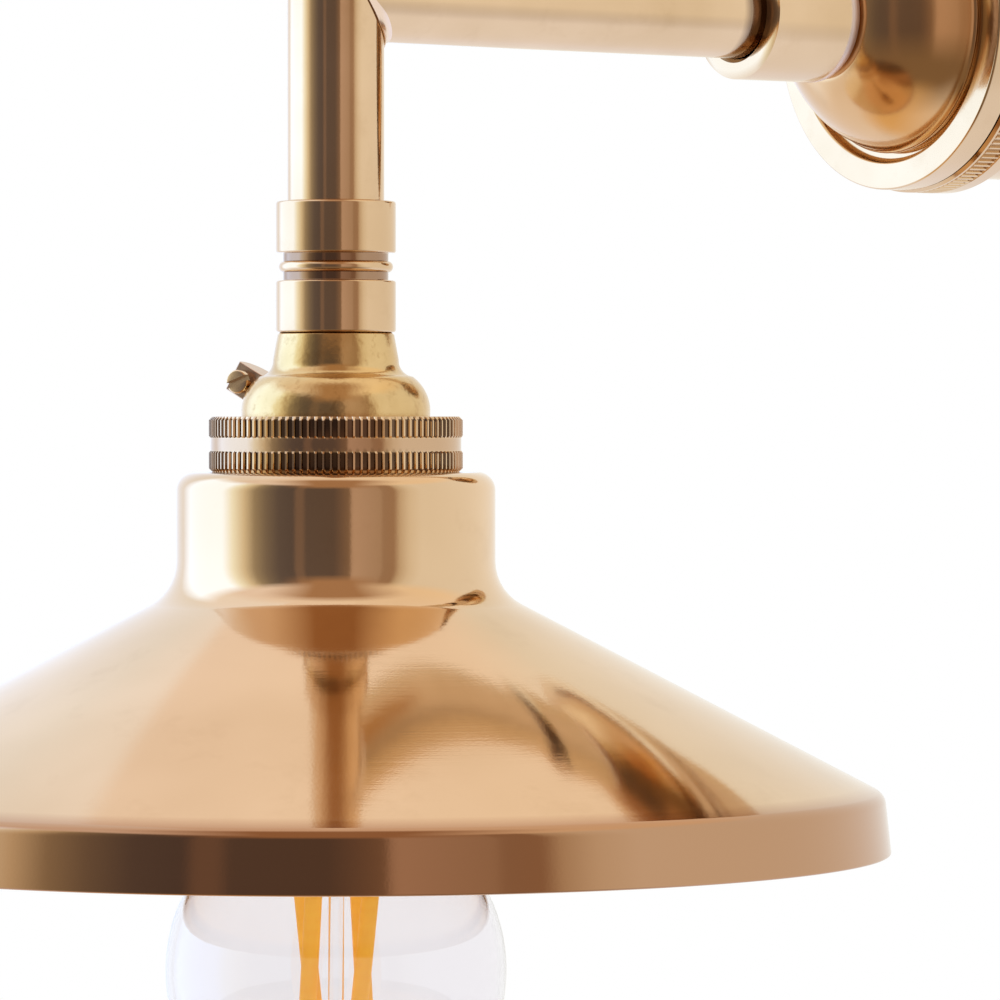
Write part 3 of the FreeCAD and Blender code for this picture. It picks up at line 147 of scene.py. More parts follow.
def place3(tree):
    # the piece's own coordinates, as a vector and as three numbers
    spot = addNode(tree, "ShaderNodeTexCoord", None, None, "Object")
    apart = tree.nodes.new("ShaderNodeSeparateXYZ")
    tree.links.new(spot.socket, apart.inputs[0])
    return spot, [Wire(tree, apart.outputs[i]) for i in range(3)]


def brassMaterial(name, looks):
    # polished brass: turning lines round its axis, cloudy tone, faint smears, some places matt, and some
    # bands recoloured: tarnish, painted shade and a painted highlight
    material, tree = newMaterial(name)
    spot, (x, y, z) = place3(tree)
    if looks["axis"] == "lamp":
        across, along, side = x, z, y + lampOut * mm
    else:
        across, along, side = x, y, z
    radial = (across * across + side * side) ** 0.5
    lineWay = join3(tree, radial * looks["lines"], along * looks["lines"], across * looks["lineBreak"])
    lines = noise(tree, lineWay, 1.0, 3.0, 0.6)
    cloud = noise(tree, spot, looks["cloud"], 3.0, 0.55)
    smear = noise(tree, spot, looks["cloud"] * 4.3, 4.0, 0.65)
    grain = noise(tree, spot, looks["grain"], 2.0, 0.5)
    tone = clamp01((cloud - 0.35) * 2.6)
    colour = mixColour(tree, tone, looks["deep"], looks["pale"])
    spots = clamp01((smear - 0.56) * 5.0) * looks["spots"]
    colour = mixColour(tree, spots, colour, looks["stain"])
    def between(start, end, soft):
        return clamp01((along - start) / soft) * clamp01((end - along) / soft)

    # each band recolours the brass as its entry says: painted shade in grooves and recesses, a painted
    # highlight, or tarnish
    for start, end, soft, under, tone, share in looks.get("tarnish", []):
        # between two levels along the axis, and only nearer to the axis than the given radius
        inside = between(start, end, soft) * clamp01((under - radial) / 1e-4)
        colour = mixColour(tree, inside * share, colour, tone)
    gloss = looks["rough"] + (lines - 0.5) * looks["lineRough"] + (smear - 0.5) * looks["smearRough"]
    for start, end, soft, extra in looks.get("unpolished", []):
        gloss = gloss + between(start, end, soft) * extra
    height = (lines - 0.5) * looks["lineBump"] + (grain - 0.5) * looks["grainBump"]
    closePrincipled(tree, height, {"Base Color": colour, "Metallic": 1.0, "Roughness": clamp01(gloss)})
    return material


def plainMaterial(name, deep, pale, rough, grainBump, cloud=200, grainScale=2600):
    # rubber, plastic and board: two close tones, a fine grain and a soft sheen
    material, tree = newMaterial(name)
    spot = place3(tree)[0]
    tone = noise(tree, spot, cloud, 3.0, 0.6)
    grain = noise(tree, spot, grainScale, 2.0, 0.5)
    closePrincipled(tree, grain * grainBump, {
        "Base Color": mixColour(tree, tone, deep, pale), "Roughness": rough + (tone - 0.5) * 0.12})
    return material


brassLooks = {
    "axis": "lamp", "lines": 3200, "lineBreak": 45, "cloud": 38, "grain": 2600,
    "deep": (0.67, 0.465, 0.26), "pale": (0.78, 0.56, 0.34), "stain": (0.52, 0.33, 0.16), "spots": 0.2,
    "rough": 0.075, "lineRough": 0.04, "smearRough": 0.05, "lineBump": 0.003, "grainBump": 0.002,
}


def brassFor(name, **changes):
    return brassMaterial(name, {**brassLooks, **changes})


paints = {
    "tubeDown": brassFor("brassDropTube", rough=0.10),
    "tubeAcross": brassFor("brassArmTube", axis="arm", rough=0.11, tarnish=[
        (-0.0562, -0.0500, 0.0012, 0.0075, (0.20, 0.13, 0.09), 0.75)]),   # painted shade on the tube beside the collar's face
    "turnedLamp": brassFor("brassTurnedLamp", tarnish=[
        (-0.0378, -0.0342, 0.0001, 0.0072, (0.30, 0.17, 0.10), 0.8)]),   # the coupler's two grooves, darker: tarnish and painted shade
    "turnedArm": brassFor("brassTurnedArm", axis="arm", rough=0.10),
    "collar": brassFor("brassCollar", axis="arm", rough=0.10, unpolished=[
        (-0.0396, -0.0360, 0.0005, 0.38)], tarnish=[
        (-0.0396, -0.0360, 0.0005, 0.0200, (0.92, 0.78, 0.70), 0.9)]),   # its rear round is matt, and paler as a painted highlight
    "bell": brassFor("brassBell", axis="arm", rough=0.15, deep=(0.66, 0.40, 0.18), pale=(0.76, 0.48, 0.24)),
    "spun": brassFor("brassSpun", lines=1800, cloud=22, tarnish=[
        (-0.1200, -0.1036, 0.0012, 0.0800, (0.50, 0.29, 0.155), 1.0)]),   # the rim band is coloured a darker, warmer brass
    "cast": brassFor("brassCast", deep=(0.63, 0.42, 0.175), pale=(0.76, 0.54, 0.25), stain=(0.45, 0.26, 0.09),
                     rough=0.17, smearRough=0.10, grain=900, grainBump=0.03, cloud=120, spots=0.75),
    "lug": brassFor("brassLug", deep=(0.58, 0.42, 0.31), pale=(0.74, 0.57, 0.44), rough=0.22, grainBump=0.012,
                    grain=1400),
    "screw": brassFor("brassScrew", deep=(0.74, 0.53, 0.31), pale=(0.86, 0.67, 0.46), rough=0.2),
    "bead": brassFor("brassBead", axis="arm", deep=(0.80, 0.60, 0.44), pale=(0.90, 0.74, 0.60), rough=0.22,
                     grainBump=0.012, grain=1200),
    "flutedRing": brassFor("brassFlutedRing", tarnish=[
        # painted shade in the flutes' recesses of both bands
        (-0.0626, -0.0600, 0.0001, 0.01645, (0.10, 0.055, 0.035), 0.92),
        (-0.0585, -0.0559, 0.0001, 0.01645, (0.10, 0.055, 0.035), 0.92),
        # painted shade in the plain groove between the bands
        (-0.0601, -0.0584, 0.0001, 0.01655, (0.50, 0.31, 0.18), 0.55)]),
    "flutedLock": brassFor("brassFlutedLock", axis="arm", tarnish=[
        # painted shade in the flutes' recesses
        (-0.0199, -0.0169, 0.0001, 0.02392, (0.48, 0.36, 0.27), 0.35)]),
    "inside": brassFor("brassInside", rough=0.3, spots=0.5),
    "insideArm": brassFor("brassInsideArm", axis="arm", rough=0.3, spots=0.5),
    "steel": brassFor("springSteel", deep=(0.50, 0.50, 0.52), pale=(0.66, 0.66, 0.68), stain=(0.4, 0.4, 0.41),
                      rough=0.24),
    "capMetal": brassFor("bulbCapMetal", deep=(0.66, 0.66, 0.67), pale=(0.80, 0.80, 0.81),
                         stain=(0.5, 0.5, 0.5), rough=0.24, lines=2400),
    "solder": brassFor("contactSolder", deep=(0.46, 0.46, 0.48), pale=(0.62, 0.62, 0.64),
                       stain=(0.36, 0.36, 0.37), rough=0.36, grainBump=0.02, grain=1500),
    "rubber": plainMaterial("bushRubber", (0.03, 0.03, 0.03), (0.06, 0.058, 0.055), 0.6, 0.03, 160, 2200),
    "holderInsulator": plainMaterial("holderInsulator", (0.04, 0.028, 0.02), (0.075, 0.055, 0.042), 0.28,
                                     0.01, 120),
    "bulbInsulator": plainMaterial("bulbInsulator", (0.02, 0.02, 0.024), (0.05, 0.05, 0.055), 0.2, 0.008),
    "board": plainMaterial("driverBoard", (0.70, 0.70, 0.66), (0.86, 0.86, 0.83), 0.45, 0.02, 300, 1800),
    "wireBrown": plainMaterial("wireBrown", (0.16, 0.075, 0.035), (0.24, 0.12, 0.06), 0.42, 0.01),
    "wireBlue": plainMaterial("wireBlue", (0.03, 0.09, 0.33), (0.06, 0.15, 0.44), 0.42, 0.01),
}


def wireGreenMaterial():
    # green wire insulation with its yellow stripe along the length
    material, tree = newMaterial("wireGreenYellow")
    spot, places = place3(tree)
    around = addNode(tree, "ShaderNodeMath", {"operation": "SINE"}, {0: (places[0] + 0.0022) * 3300})
    stripe = clamp01((around - 0.2) * 8.0)
    grain = noise(tree, spot, 2400)
    colour = mixColour(tree, stripe, (0.08, 0.28, 0.05), (0.78, 0.68, 0.08))
    closePrincipled(tree, grain * 0.01, {"Base Color": colour, "Roughness": 0.42 + grain * 0.06})
    return material


def phosphorMaterial():
    # soft amber coating over a row of chips: very slightly darker between them
    material, tree = newMaterial("ledPhosphor")
    spot, places = place3(tree)
    chips = addNode(tree, "ShaderNodeMath", {"operation": "SINE"}, {0: places[2] * 4200})
    cloud = noise(tree, spot, 420, 3.0)
    share = clamp01(0.5 + chips * 0.06 + (cloud - 0.5) * 0.9)
    colour = mixColour(tree, share, (0.78, 0.34, 0.02), (0.92, 0.45, 0.035))
    # a faint painted glow: the coating shines in its own colour, standing in for the light the globe keeps
    # from it
    closePrincipled(tree, cloud * 0.05, {
        "Base Color": colour, "Roughness": 0.42 + cloud * 0.1,
        "Emission Color": colour, "Emission Strength": 0.52})
    return material


def clearGlassMaterial(name, tint, ripple):
    # clear glass with a very slight ripple, as blown or drawn glass has
    material, tree = newMaterial(name)
    wave = noise(tree, place3(tree)[0], 55, 2.0)
    closePrincipled(tree, wave * ripple, {
        "Base Color": (*tint, 1), "Roughness": 0.0, "IOR": 1.48, "Transmission Weight": 1.0})
    return material


paints["wireGreen"] = wireGreenMaterial()
paints["phosphor"] = phosphorMaterial()
paints["bulbGlass"] = clearGlassMaterial("bulbGlass", (0.93, 0.915, 0.93), 0.02)
paints["stemGlass"] = clearGlassMaterial("stemGlass", (0.985, 0.98, 0.975), 0.04)
print("materials made:", len(paints))


# modelling helpers

def startFresh():
    if bpy.context.object and bpy.context.object.mode != "OBJECT":
        bpy.ops.object.mode_set(mode="OBJECT")
    bpy.ops.object.select_all(action="DESELECT")


def pick(piece):
    startFresh()
    piece.select_set(True)
    bpy.context.view_layer.objects.active = piece


def bow(start, end, radius, side, count=12):
    # points along the arc between two corners; it bulges left (1) or right (-1) of the way
    ax, ay = start
    bx, by = end
    half = math.hypot(bx - ax, by - ay) / 2
    ux, uy = (bx - ax) / (2 * half), (by - ay) / (2 * half)
    back = math.sqrt(max(radius ** 2 - half ** 2, 0))
    cx, cy = (ax + bx) / 2 + uy * side * back, (ay + by) / 2 - ux * side * back
    first = math.atan2(ay - cy, ax - cx)
    turn = math.atan2(by - cy, bx - cx) - first
    turn = (turn + math.pi) % (2 * math.pi) - math.pi
    return [(cx + radius * math.cos(first + turn * i / count),
             cy + radius * math.sin(first + turn * i / count)) for i in range(1, count)]


def soften(corners, closed=True):
    # rounds every corner that is given as (radius, height, rounding); the ends of an open outline stay sharp
    points = []
    count = len(corners)
    for i, corner in enumerate(corners):
        if len(corner) == 2 or (not closed and i in (0, count - 1)):
            points.append(tuple(corner[:2]))
            continue
        here = Vector(corner[:2])
        before = Vector(corners[i - 1][:2]) - here
        after = Vector(corners[(i + 1) % count][:2]) - here
        opening = before.angle(after)
        turn = math.pi - opening
        if turn < 0.02:
            points.append(tuple(here))
            continue
        tangent = min(corner[2] * math.tan(turn / 2), before.length * 0.49, after.length * 0.49)
        radius = tangent / math.tan(turn / 2)
        start = here + before.normalized() * tangent
        end = here + after.normalized() * tangent
        halfway = (before.normalized() + after.normalized()).normalized()
        centre = here + halfway * (radius / math.cos(turn / 2))
        steps = max(2, math.ceil(math.degrees(turn) / (30 if radius < 0.5 else 9)))
        first = math.atan2(start.y - centre.y, start.x - centre.x)
        sweep = math.atan2(end.y - centre.y, end.x - centre.x) - first
        sweep = (sweep + math.pi) % (2 * math.pi) - math.pi
        points += [(centre.x + radius * math.cos(first + sweep * k / steps),
                    centre.y + radius * math.sin(first + sweep * k / steps)) for k in range(steps + 1)]
    return points


def drawOutline(name, outline, closed=True):
    # one vertex, pulled along the outline as by hand
    startFresh()
    bpy.ops.mesh.primitive_plane_add(size=mm)
    piece = bpy.context.object
    piece.name = piece.data.name = name
    bpy.ops.object.mode_set(mode="EDIT")
    bpy.ops.mesh.select_all(action="SELECT")
    bpy.ops.mesh.merge(type="CENTER")
    x, z = outline[0]
    bpy.ops.transform.translate(value=(x * mm, 0, z * mm))
    way = list(outline[1:]) + ([outline[0]] if closed else [])
    for nextX, nextZ in way:
        step = ((nextX - x) * mm, 0, (nextZ - z) * mm)
        bpy.ops.mesh.extrude_region_move(TRANSFORM_OT_translate={"value": step})
        x, z = nextX, nextZ
    bpy.ops.mesh.select_all(action="SELECT")
    bpy.ops.mesh.remove_doubles(threshold=1e-6)
    return piece


def closeSeams():
    bpy.ops.mesh.select_all(action="SELECT")
    bpy.ops.mesh.remove_doubles(threshold=2e-6)
    bpy.ops.mesh.normals_make_consistent(inside=False)


def spinOutline(name, outline, steps, closed=True):
    # draws the outline (radius, height in mm) and spins it right round; the piece is left in edit mode
    piece = drawOutline(name, outline, closed)
    bpy.ops.mesh.select_all(action="SELECT")
    bpy.ops.mesh.spin(steps=steps, angle=2 * math.pi, center=(0, 0, 0), axis=(0, 0, 1))
    closeSeams()
    return piece


def turnPiece(name, outline, steps=128, onArm=False, closed=True, smooth=38):
    # a turned piece, stood on its axis
    piece = spinOutline(name, outline, steps, closed)
    settle(piece, onArm, smooth)
    return piece


def settle(piece, onArm=False, smooth=38):
    startFresh()
    if onArm:
        piece.rotation_euler = (math.pi / 2, 0, 0)
    else:
        piece.location = lampAxis
    applyPlace(piece)
    shade(piece, smooth)


def applyPlace(piece):
    pick(piece)
    bpy.ops.object.transform_apply(location=True, rotation=True, scale=True)


def shade(piece, smooth=38):
    pick(piece)
    bpy.ops.object.shade_smooth_by_angle(angle=math.radians(smooth))
    even = piece.modifiers.new("evenShading", "WEIGHTED_NORMAL")
    even.keep_sharp = True
    bpy.ops.object.modifier_apply(modifier=even.name)


def pickVertices(piece, test):
    # selects the vertices that pass the test, by their place, in edit mode
    bpy.ops.mesh.select_mode(type="VERT")
    bpy.ops.mesh.select_all(action="DESELECT")
    bpy.ops.object.mode_set(mode="OBJECT")
    for vertex in piece.data.vertices:
        vertex.select = bool(test(vertex.co))
    bpy.ops.object.mode_set(mode="EDIT")


def dress(mesh, paint):
    mesh.materials.clear()
    mesh.materials.append(paints[paint])


def finishPiece(piece, body, slotName, paint, *cadNodes):
    dress(piece.data, paint)
    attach(piece, body)
    if cadNodes:
        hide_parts(*cadNodes)


def makeBlock(size, location=(0, 0, 0)):
    startFresh()
    bpy.ops.mesh.primitive_cube_add(size=1, location=location)
    block = bpy.context.object
    block.scale = [side * mm for side in size]
    bpy.ops.object.transform_apply(location=True, rotation=True, scale=True)
    return block


def wearEdges(piece, width, segments, sharpest=30):
    # small bevels on the edges that turn by more than this many degrees
    edge = piece.modifiers.new("worn", "BEVEL")
    edge.width = width * mm
    edge.segments = segments
    edge.limit_method = "ANGLE"
    edge.angle_limit = math.radians(sharpest)
    bpy.ops.object.modifier_apply(modifier=edge.name)


# shade: spun sheet with gallery, shallow cone and flared rim band

shadeShape = {"hole": 14.5, "top": -62.9, "wall": 0.9, "gallery": 20.93, "corner": -78.48,
              "shoulder": 71.95, "shoulderLevel": -105.1, "rim": 72.8, "rimLevel": -112.75,
              "topRound": 2.4, "sweep": 6.5, "shoulderRound": 1.9, "steps": 256}


def makeShade(s):
    wall = s["wall"]
    slope = (s["corner"] - s["shoulderLevel"]) / (s["shoulder"] - s["gallery"])
    drop = wall * math.sqrt(slope * slope + 1) - wall * slope
    outline = soften([
        (s["hole"], s["top"], 0.15), (s["gallery"], s["top"], s["topRound"]),
        (s["gallery"], s["corner"], s["sweep"]), (s["shoulder"], s["shoulderLevel"], s["shoulderRound"]),
        (s["rim"], s["rimLevel"], 0.25), (s["rim"] - wall, s["rimLevel"], 0.25),
        (s["shoulder"] - wall, s["shoulderLevel"] - drop, s["shoulderRound"] - wall),
        (s["gallery"] - wall, s["corner"] - drop, s["sweep"] + wall),
        (s["gallery"] - wall, s["top"] - wall, s["topRound"] - wall), (s["hole"], s["top"] - wall, 0.15),
    ])
    return turnPiece("shadeShell", outline, s["steps"])


finishPiece(makeShade(shadeShape), "arm", "brass_spun", "spun", "shade")
print("shade made")


# threaded rings: the cap ring has two fluted bands and a plain groove between them, the shade ring one band,
# and the lock ring a band between two thin grooves

capRingShape = {"radius": 16.65, "bore": 14.2, "lip": 12.5, "top": -55.6, "bottom": -62.9, "lipUnder": -56.5,
                "bevel": 0.5, "band": 2.8, "groove": 16.45, "chamfer": 0.28, "recess": 16.3, "flutes": 105}
shadeRingShape = {"radius": 17.6, "bore": 14.2, "top": -63.85, "bottom": -68.85, "bevel": 0.5,
                  "recess": 17.25, "flutes": 55}
lockRingShape = {"radius": 24.1, "bore": 21.95, "back": 14.0, "front": 21.0, "bevel": 0.4, "bandBack": 16.9,
                 "bandFront": 19.9, "grooveWide": 0.3, "recess": 23.75, "flutes": 151}
stepsPerFlute = 8
fluteFrom, fluteTo = 0.30, 0.94   # shares of a flute's eight steps around: the last five are pulled in


def pressFlutes(piece, flutes, low, high, radius, recess):
    def inFlute(co):
        if not low * mm - 1e-6 <= co.z <= high * mm + 1e-6:
            return False
        if math.hypot(co.x, co.y) < (recess + 0.02) * mm:
            return False
        share = (math.atan2(co.y, co.x) / (2 * math.pi) * flutes) % 1.0
        return fluteFrom < share < fluteTo
    pickVertices(piece, inFlute)
    ratio = recess / radius
    bpy.ops.transform.resize(value=(ratio, ratio, 1), center_override=(0, 0, 0))


def makeCapRing(s):
    radius, bevel, groove, chamfer = s["radius"], s["bevel"], s["groove"], s["chamfer"]
    lowBand, highBand = s["bottom"] + s["band"], s["top"] - s["band"]
    outline = soften([
        (s["bore"], s["bottom"]), (radius - bevel, s["bottom"], 0.08), (radius, s["bottom"] + bevel),
        (radius, lowBand - chamfer), (groove, lowBand), (groove, highBand), (radius, highBand + chamfer),
        (radius, s["top"] - bevel), (radius - bevel, s["top"], 0.08), (s["lip"], s["top"], 0.08),
        (s["lip"], s["lipUnder"]), (s["bore"], s["lipUnder"]),
    ])
    piece = spinOutline("capRingTurned", outline, s["flutes"] * stepsPerFlute)
    pressFlutes(piece, s["flutes"], s["bottom"] + bevel - 0.02, lowBand - 0.27, radius, s["recess"])
    pressFlutes(piece, s["flutes"], highBand + 0.27, s["top"] - bevel + 0.02, radius, s["recess"])
    settle(piece, smooth=30)
    return piece


def makeShadeRing(s):
    radius, bevel = s["radius"], s["bevel"]
    outline = soften([
        (s["bore"], s["bottom"], 0.1), (radius - bevel, s["bottom"], 0.08), (radius, s["bottom"] + bevel),
        (radius, s["top"] - bevel), (radius - bevel, s["top"], 0.08), (s["bore"], s["top"], 0.1),
    ])
    piece = spinOutline("shadeRingTurned", outline, s["flutes"] * stepsPerFlute)
    pressFlutes(piece, s["flutes"], s["bottom"] + bevel - 0.02, s["top"] - bevel + 0.02, radius, s["recess"])
    settle(piece, smooth=30)
    return piece


def makeLockRing(s):
    radius, bevel, wide = s["radius"], s["bevel"], s["grooveWide"]
    outline = soften([
        (s["bore"], s["back"], 0.1), (radius - bevel, s["back"]), (radius, s["back"] + bevel),
        (radius, s["bandBack"] - wide), (s["recess"], s["bandBack"] - 0.02), (radius, s["bandBack"]),
        (radius, s["bandFront"]), (s["recess"], s["bandFront"] + 0.02), (radius, s["bandFront"] + wide),
        (radius, s["front"] - bevel), (radius - bevel, s["front"]), (s["bore"], s["front"], 0.1),
    ])
    piece = spinOutline("lockRingTurned", outline, s["flutes"] * stepsPerFlute)
    pressFlutes(piece, s["flutes"], s["bandBack"] - 0.005, s["bandFront"] + 0.005, radius, s["recess"])
    settle(piece, onArm=True, smooth=30)
    return piece


finishPiece(makeCapRing(capRingShape), "cap_ring", "brass_fluted", "flutedRing", "cap_ring")
finishPiece(makeShadeRing(shadeRingShape), "shade_ring", "brass_fluted", "turnedLamp", "shade_ring")
finishPiece(makeLockRing(lockRingShape), "lock_ring", "brass_fluted", "flutedLock", "lock_ring")
print("fluted rings made")


# holder cap: neck, crease and dome, with its flange under the cap ring's lip

holderCapShape = {"tapped": 5.05, "neckTop": -44.6, "neck": 7.65, "foot": 8.25, "footLevel": -48.2,
                  "crease": 10.1, "creaseLevel": -50.4, "creaseBow": 2.1, "dome": 12.35, "domeLevel": -55.6,
                  "domeBow": 5.6, "wall": 0.9,
                  "flange": 13.9, "flangeTop": -56.5, "bottom": -57.4, "threadEnd": -50.3}


def makeHolderCap(s):
    wall = s["wall"]
    foot, crease, dome = [(s[place], s[place + "Level"]) for place in ("foot", "crease", "dome")]
    outline = [(s["neck"] - 0.35, s["neckTop"]), (s["neck"], s["neckTop"] - 0.3), foot]
    outline += bow(foot, crease, s["creaseBow"], -1, 10) + [crease]
    outline += bow(crease, dome, s["domeBow"], 1, 14)
    outline += [dome, (s["dome"], s["flangeTop"]), (s["flange"], s["flangeTop"]),
                (s["flange"], s["bottom"]), (s["dome"] - wall, s["bottom"]),
                (s["dome"] - wall, s["domeLevel"])]
    inCrease = (s["crease"] - wall, s["threadEnd"] - wall)
    outline += bow((s["dome"] - wall, s["domeLevel"]), inCrease, s["domeBow"] - wall, -1, 10)
    outline += [inCrease, (s["tapped"], s["threadEnd"]), (s["tapped"], s["neckTop"])]
    return turnPiece("holderCapDome", outline, 144, smooth=42)


finishPiece(makeHolderCap(holderCapShape), "arm", "brass_cast", "cast", "holder_cap")


# earth lug and its slotted screw

lugShape = {"turn": 208.3, "rise": 29.6, "foot": 11.0, "level": -52.1, "reach": 3.95, "inside": -1.2,
            "face": 1.7, "round": 3.4, "width": 4.2, "screwOut": 2.15, "screwRadius": 1.55, "screwTip": 1.0,
            "screwProud": 1.9, "slot": 0.8, "slotDeep": 0.9, "slotLong": 8, "slotTurn": 51.3, "edge": 0.16}


def lugPlace(s):
    turn, rise = math.radians(s["turn"]), math.radians(s["rise"])
    foot = Vector((s["foot"] * math.cos(turn), s["foot"] * math.sin(turn) - lampOut, s["level"])) * mm
    return Matrix.Translation(foot) @ Matrix.Rotation(turn, 4, "Z") @ Matrix.Rotation(-rise, 4, "Y")


def standAt(piece, matrix, smooth=38):
    piece.matrix_world = matrix
    applyPlace(piece)
    shade(piece, smooth)


def cutWith(piece, cutter):
    pick(piece)
    less = piece.modifiers.new("cut", "BOOLEAN")
    less.operation = "DIFFERENCE"
    less.solver = "EXACT"
    less.object = cutter
    bpy.ops.object.modifier_apply(modifier=less.name)
    bpy.data.objects.remove(cutter)


def makeLug(s):
    outline = [(s["reach"], s["face"]), (s["inside"], s["face"]), (s["inside"], -s["face"])]
    outline += bow((s["inside"], -s["face"]), (s["reach"], s["face"]), s["round"], -1, 18)
    piece = drawOutline("earthLugBlock", outline)
    bpy.ops.mesh.edge_face_add()
    bpy.ops.mesh.extrude_region_move(TRANSFORM_OT_translate={"value": (0, s["width"] * mm, 0)})
    bpy.ops.mesh.select_all(action="SELECT")
    bpy.ops.mesh.normals_make_consistent(inside=False)
    bpy.ops.object.mode_set(mode="OBJECT")
    wearEdges(piece, s["edge"], 3, 50)
    # drawn in X and Z, so it is tipped on to the lug's own X and Y
    tip = Matrix.Rotation(-math.pi / 2, 4, "X") @ Matrix.Translation((0, -s["width"] / 2 * mm, 0))
    standAt(piece, lugPlace(s) @ tip)
    return piece


def makeEarthScrew(s):
    start, end, radius = s["screwTip"], s["face"] + s["screwProud"], s["screwRadius"]
    outline = soften([(0, start), (radius, start, 0.1), (radius, end, 0.22), (0, end)], closed=False)
    piece = spinOutline("earthScrewTurned", outline, 64, closed=False)
    cutWith(piece, makeBlock((s["slotLong"], s["slot"], 2 * s["slotDeep"]), (0, 0, end * mm)))
    # the screw's own Z is the way out of the flat face
    tip = Matrix.Translation((s["screwOut"] * mm, 0, 0)) @ Matrix.Rotation(-math.pi / 2, 4, "X")
    turn = Matrix.Rotation(math.radians(s["slotTurn"]), 4, "Z")
    standAt(piece, lugPlace(s) @ tip @ turn)
    return piece


finishPiece(makeLug(lugShape), "arm", "brass_small", "lug", "earth_lug")
finishPiece(makeEarthScrew(lugShape), "earth_screw", "brass_small", "screw", "earth_screw")
print("holder cap and earth terminal made")


# coupler, drop tube and its end cap

couplerShape = {"tapped": 5.05, "radius": 7.875, "waist": 6.9, "beadRound": 0.765, "top": -27.4,
                "band": 6.8, "groove": 1.05, "beadTall": 1.5}
dropShape = {"radius": 6.35, "bore": 4.75, "top": 10.0, "bottom": -27.4, "cap": 1.6, "plug": 3.0}


def makeCoupler(s):
    upper = s["top"] - s["band"]
    beadTop = upper - s["groove"]
    beadFoot = beadTop - s["beadTall"]
    lower = beadFoot - s["groove"]
    bottom = lower - s["band"]
    outline = soften([
        (s["tapped"], s["top"]), (s["tapped"], bottom), (s["radius"], bottom, 0.35),
        (s["radius"], lower, 0.3), (s["waist"], lower, 0.12), (s["waist"], beadFoot),
    ], closed=False)
    outline += bow((s["waist"], beadFoot), (s["waist"], beadTop), s["beadRound"], -1, 12)
    outline += soften([
        (s["waist"], beadTop), (s["waist"], upper, 0.12), (s["radius"], upper, 0.3),
        (s["radius"], s["top"], 0.35), (s["tapped"], s["top"]),
    ], closed=False)[:-1]
    return turnPiece("couplerTurned", outline, 128)


def makeDropTube(s):
    outline = soften([(s["bore"], s["bottom"]), (s["radius"], s["bottom"], 0.12),
                      (s["radius"], s["top"], 0.06), (s["bore"], s["top"])])
    return turnPiece("dropTubeDrawn", outline, 128)


def makeEndCap(s):
    plug, top = s["bore"] - 0.05, s["top"] + s["cap"]
    outline = soften([(0, s["top"] - s["plug"]), (plug, s["top"] - s["plug"], 0.3), (plug, s["top"]),
                      (s["radius"], s["top"], 0.06), (s["radius"], top, 0.5), (0, top)], closed=False)
    return turnPiece("endCapTurned", outline, 128, closed=False)


finishPiece(makeCoupler(couplerShape), "arm", "brass_turned", "turnedLamp", "coupler")
finishPiece(makeDropTube(dropShape), "arm", "brass_tube", "tubeDown", "drop_tube")
finishPiece(makeEndCap(dropShape), "arm", "brass_turned", "turnedLamp", "end_cap")


# arm, coped to the drop tube, and the brazed joint between them

armShape = {"radius": 6.35, "bore": 4.75, "start": 44.8, "end": 120.0, "bite": 0.01, "cutterLong": 40}
beadShape = {"radius": 6.35, "onArm": 1.15, "onDrop": 1.3, "lift": 0.06, "thick": 0.15, "around": 96,
             "across": 8}


def makeArmTube(s):
    outline = [(s[side], s[place]) for side, place in (
        ("bore", "start"), ("radius", "start"), ("radius", "end"), ("bore", "end"))]
    piece = turnPiece("armTubeDrawn", outline, 128, onArm=True)
    startFresh()
    bpy.ops.mesh.primitive_cylinder_add(vertices=128, radius=(s["radius"] - s["bite"]) * mm,
                                        depth=s["cutterLong"] * mm, location=lampAxis)
    cutWith(piece, bpy.context.object)
    shade(piece)
    return piece


def makeBead(s):
    # a hollow fillet laid in the corner where the two tubes meet
    startFresh()
    bpy.ops.mesh.primitive_grid_add(x_subdivisions=s["around"], y_subdivisions=s["across"], size=2)
    piece = bpy.context.object
    piece.name = piece.data.name = "brazedFillet"
    radius = s["radius"]
    for vertex in piece.data.vertices:
        angle = (vertex.co.x + 1) * math.pi
        share = (vertex.co.y + 1) / 2
        x, z = radius * math.cos(angle), radius * math.sin(angle)
        corner = Vector((x, math.sqrt(max(radius ** 2 - x ** 2, 0)) - lampOut, z))
        fade = min(1.0, abs(math.sin(angle)) * 1.6 + 0.25)
        up = 1 if z >= 0 else -1
        armEdge = corner + Vector((0, s["onArm"] * fade, 0))
        dropEdge = corner + Vector((0, 0, up * s["onDrop"] * fade))
        out = (Vector((x, 0, z)).normalized() + Vector((x, corner.y + lampOut, 0)).normalized()).normalized()
        middle = corner + out * s["lift"]
        spot = armEdge * (1 - share) ** 2 + middle * 2 * share * (1 - share) + dropEdge * share ** 2
        vertex.co = (spot + out * s["lift"]) * mm
    bpy.ops.object.mode_set(mode="EDIT")
    closeSeams()
    bpy.ops.object.mode_set(mode="OBJECT")
    skin = piece.modifiers.new("depth", "SOLIDIFY")
    skin.thickness = s["thick"] * mm
    skin.offset = -1
    bpy.ops.object.modifier_apply(modifier=skin.name)
    shade(piece, 60)
    return piece


finishPiece(makeArmTube(armShape), "arm", "brass_tube", "tubeAcross", "arm_tube")
finishPiece(makeBead(beadShape), "arm", "brass_small", "bead", "brazed_bead")
print("tubes and coupler made")


# wall end: base, front plate, bell dome and arm collar (radius, distance from the wall)

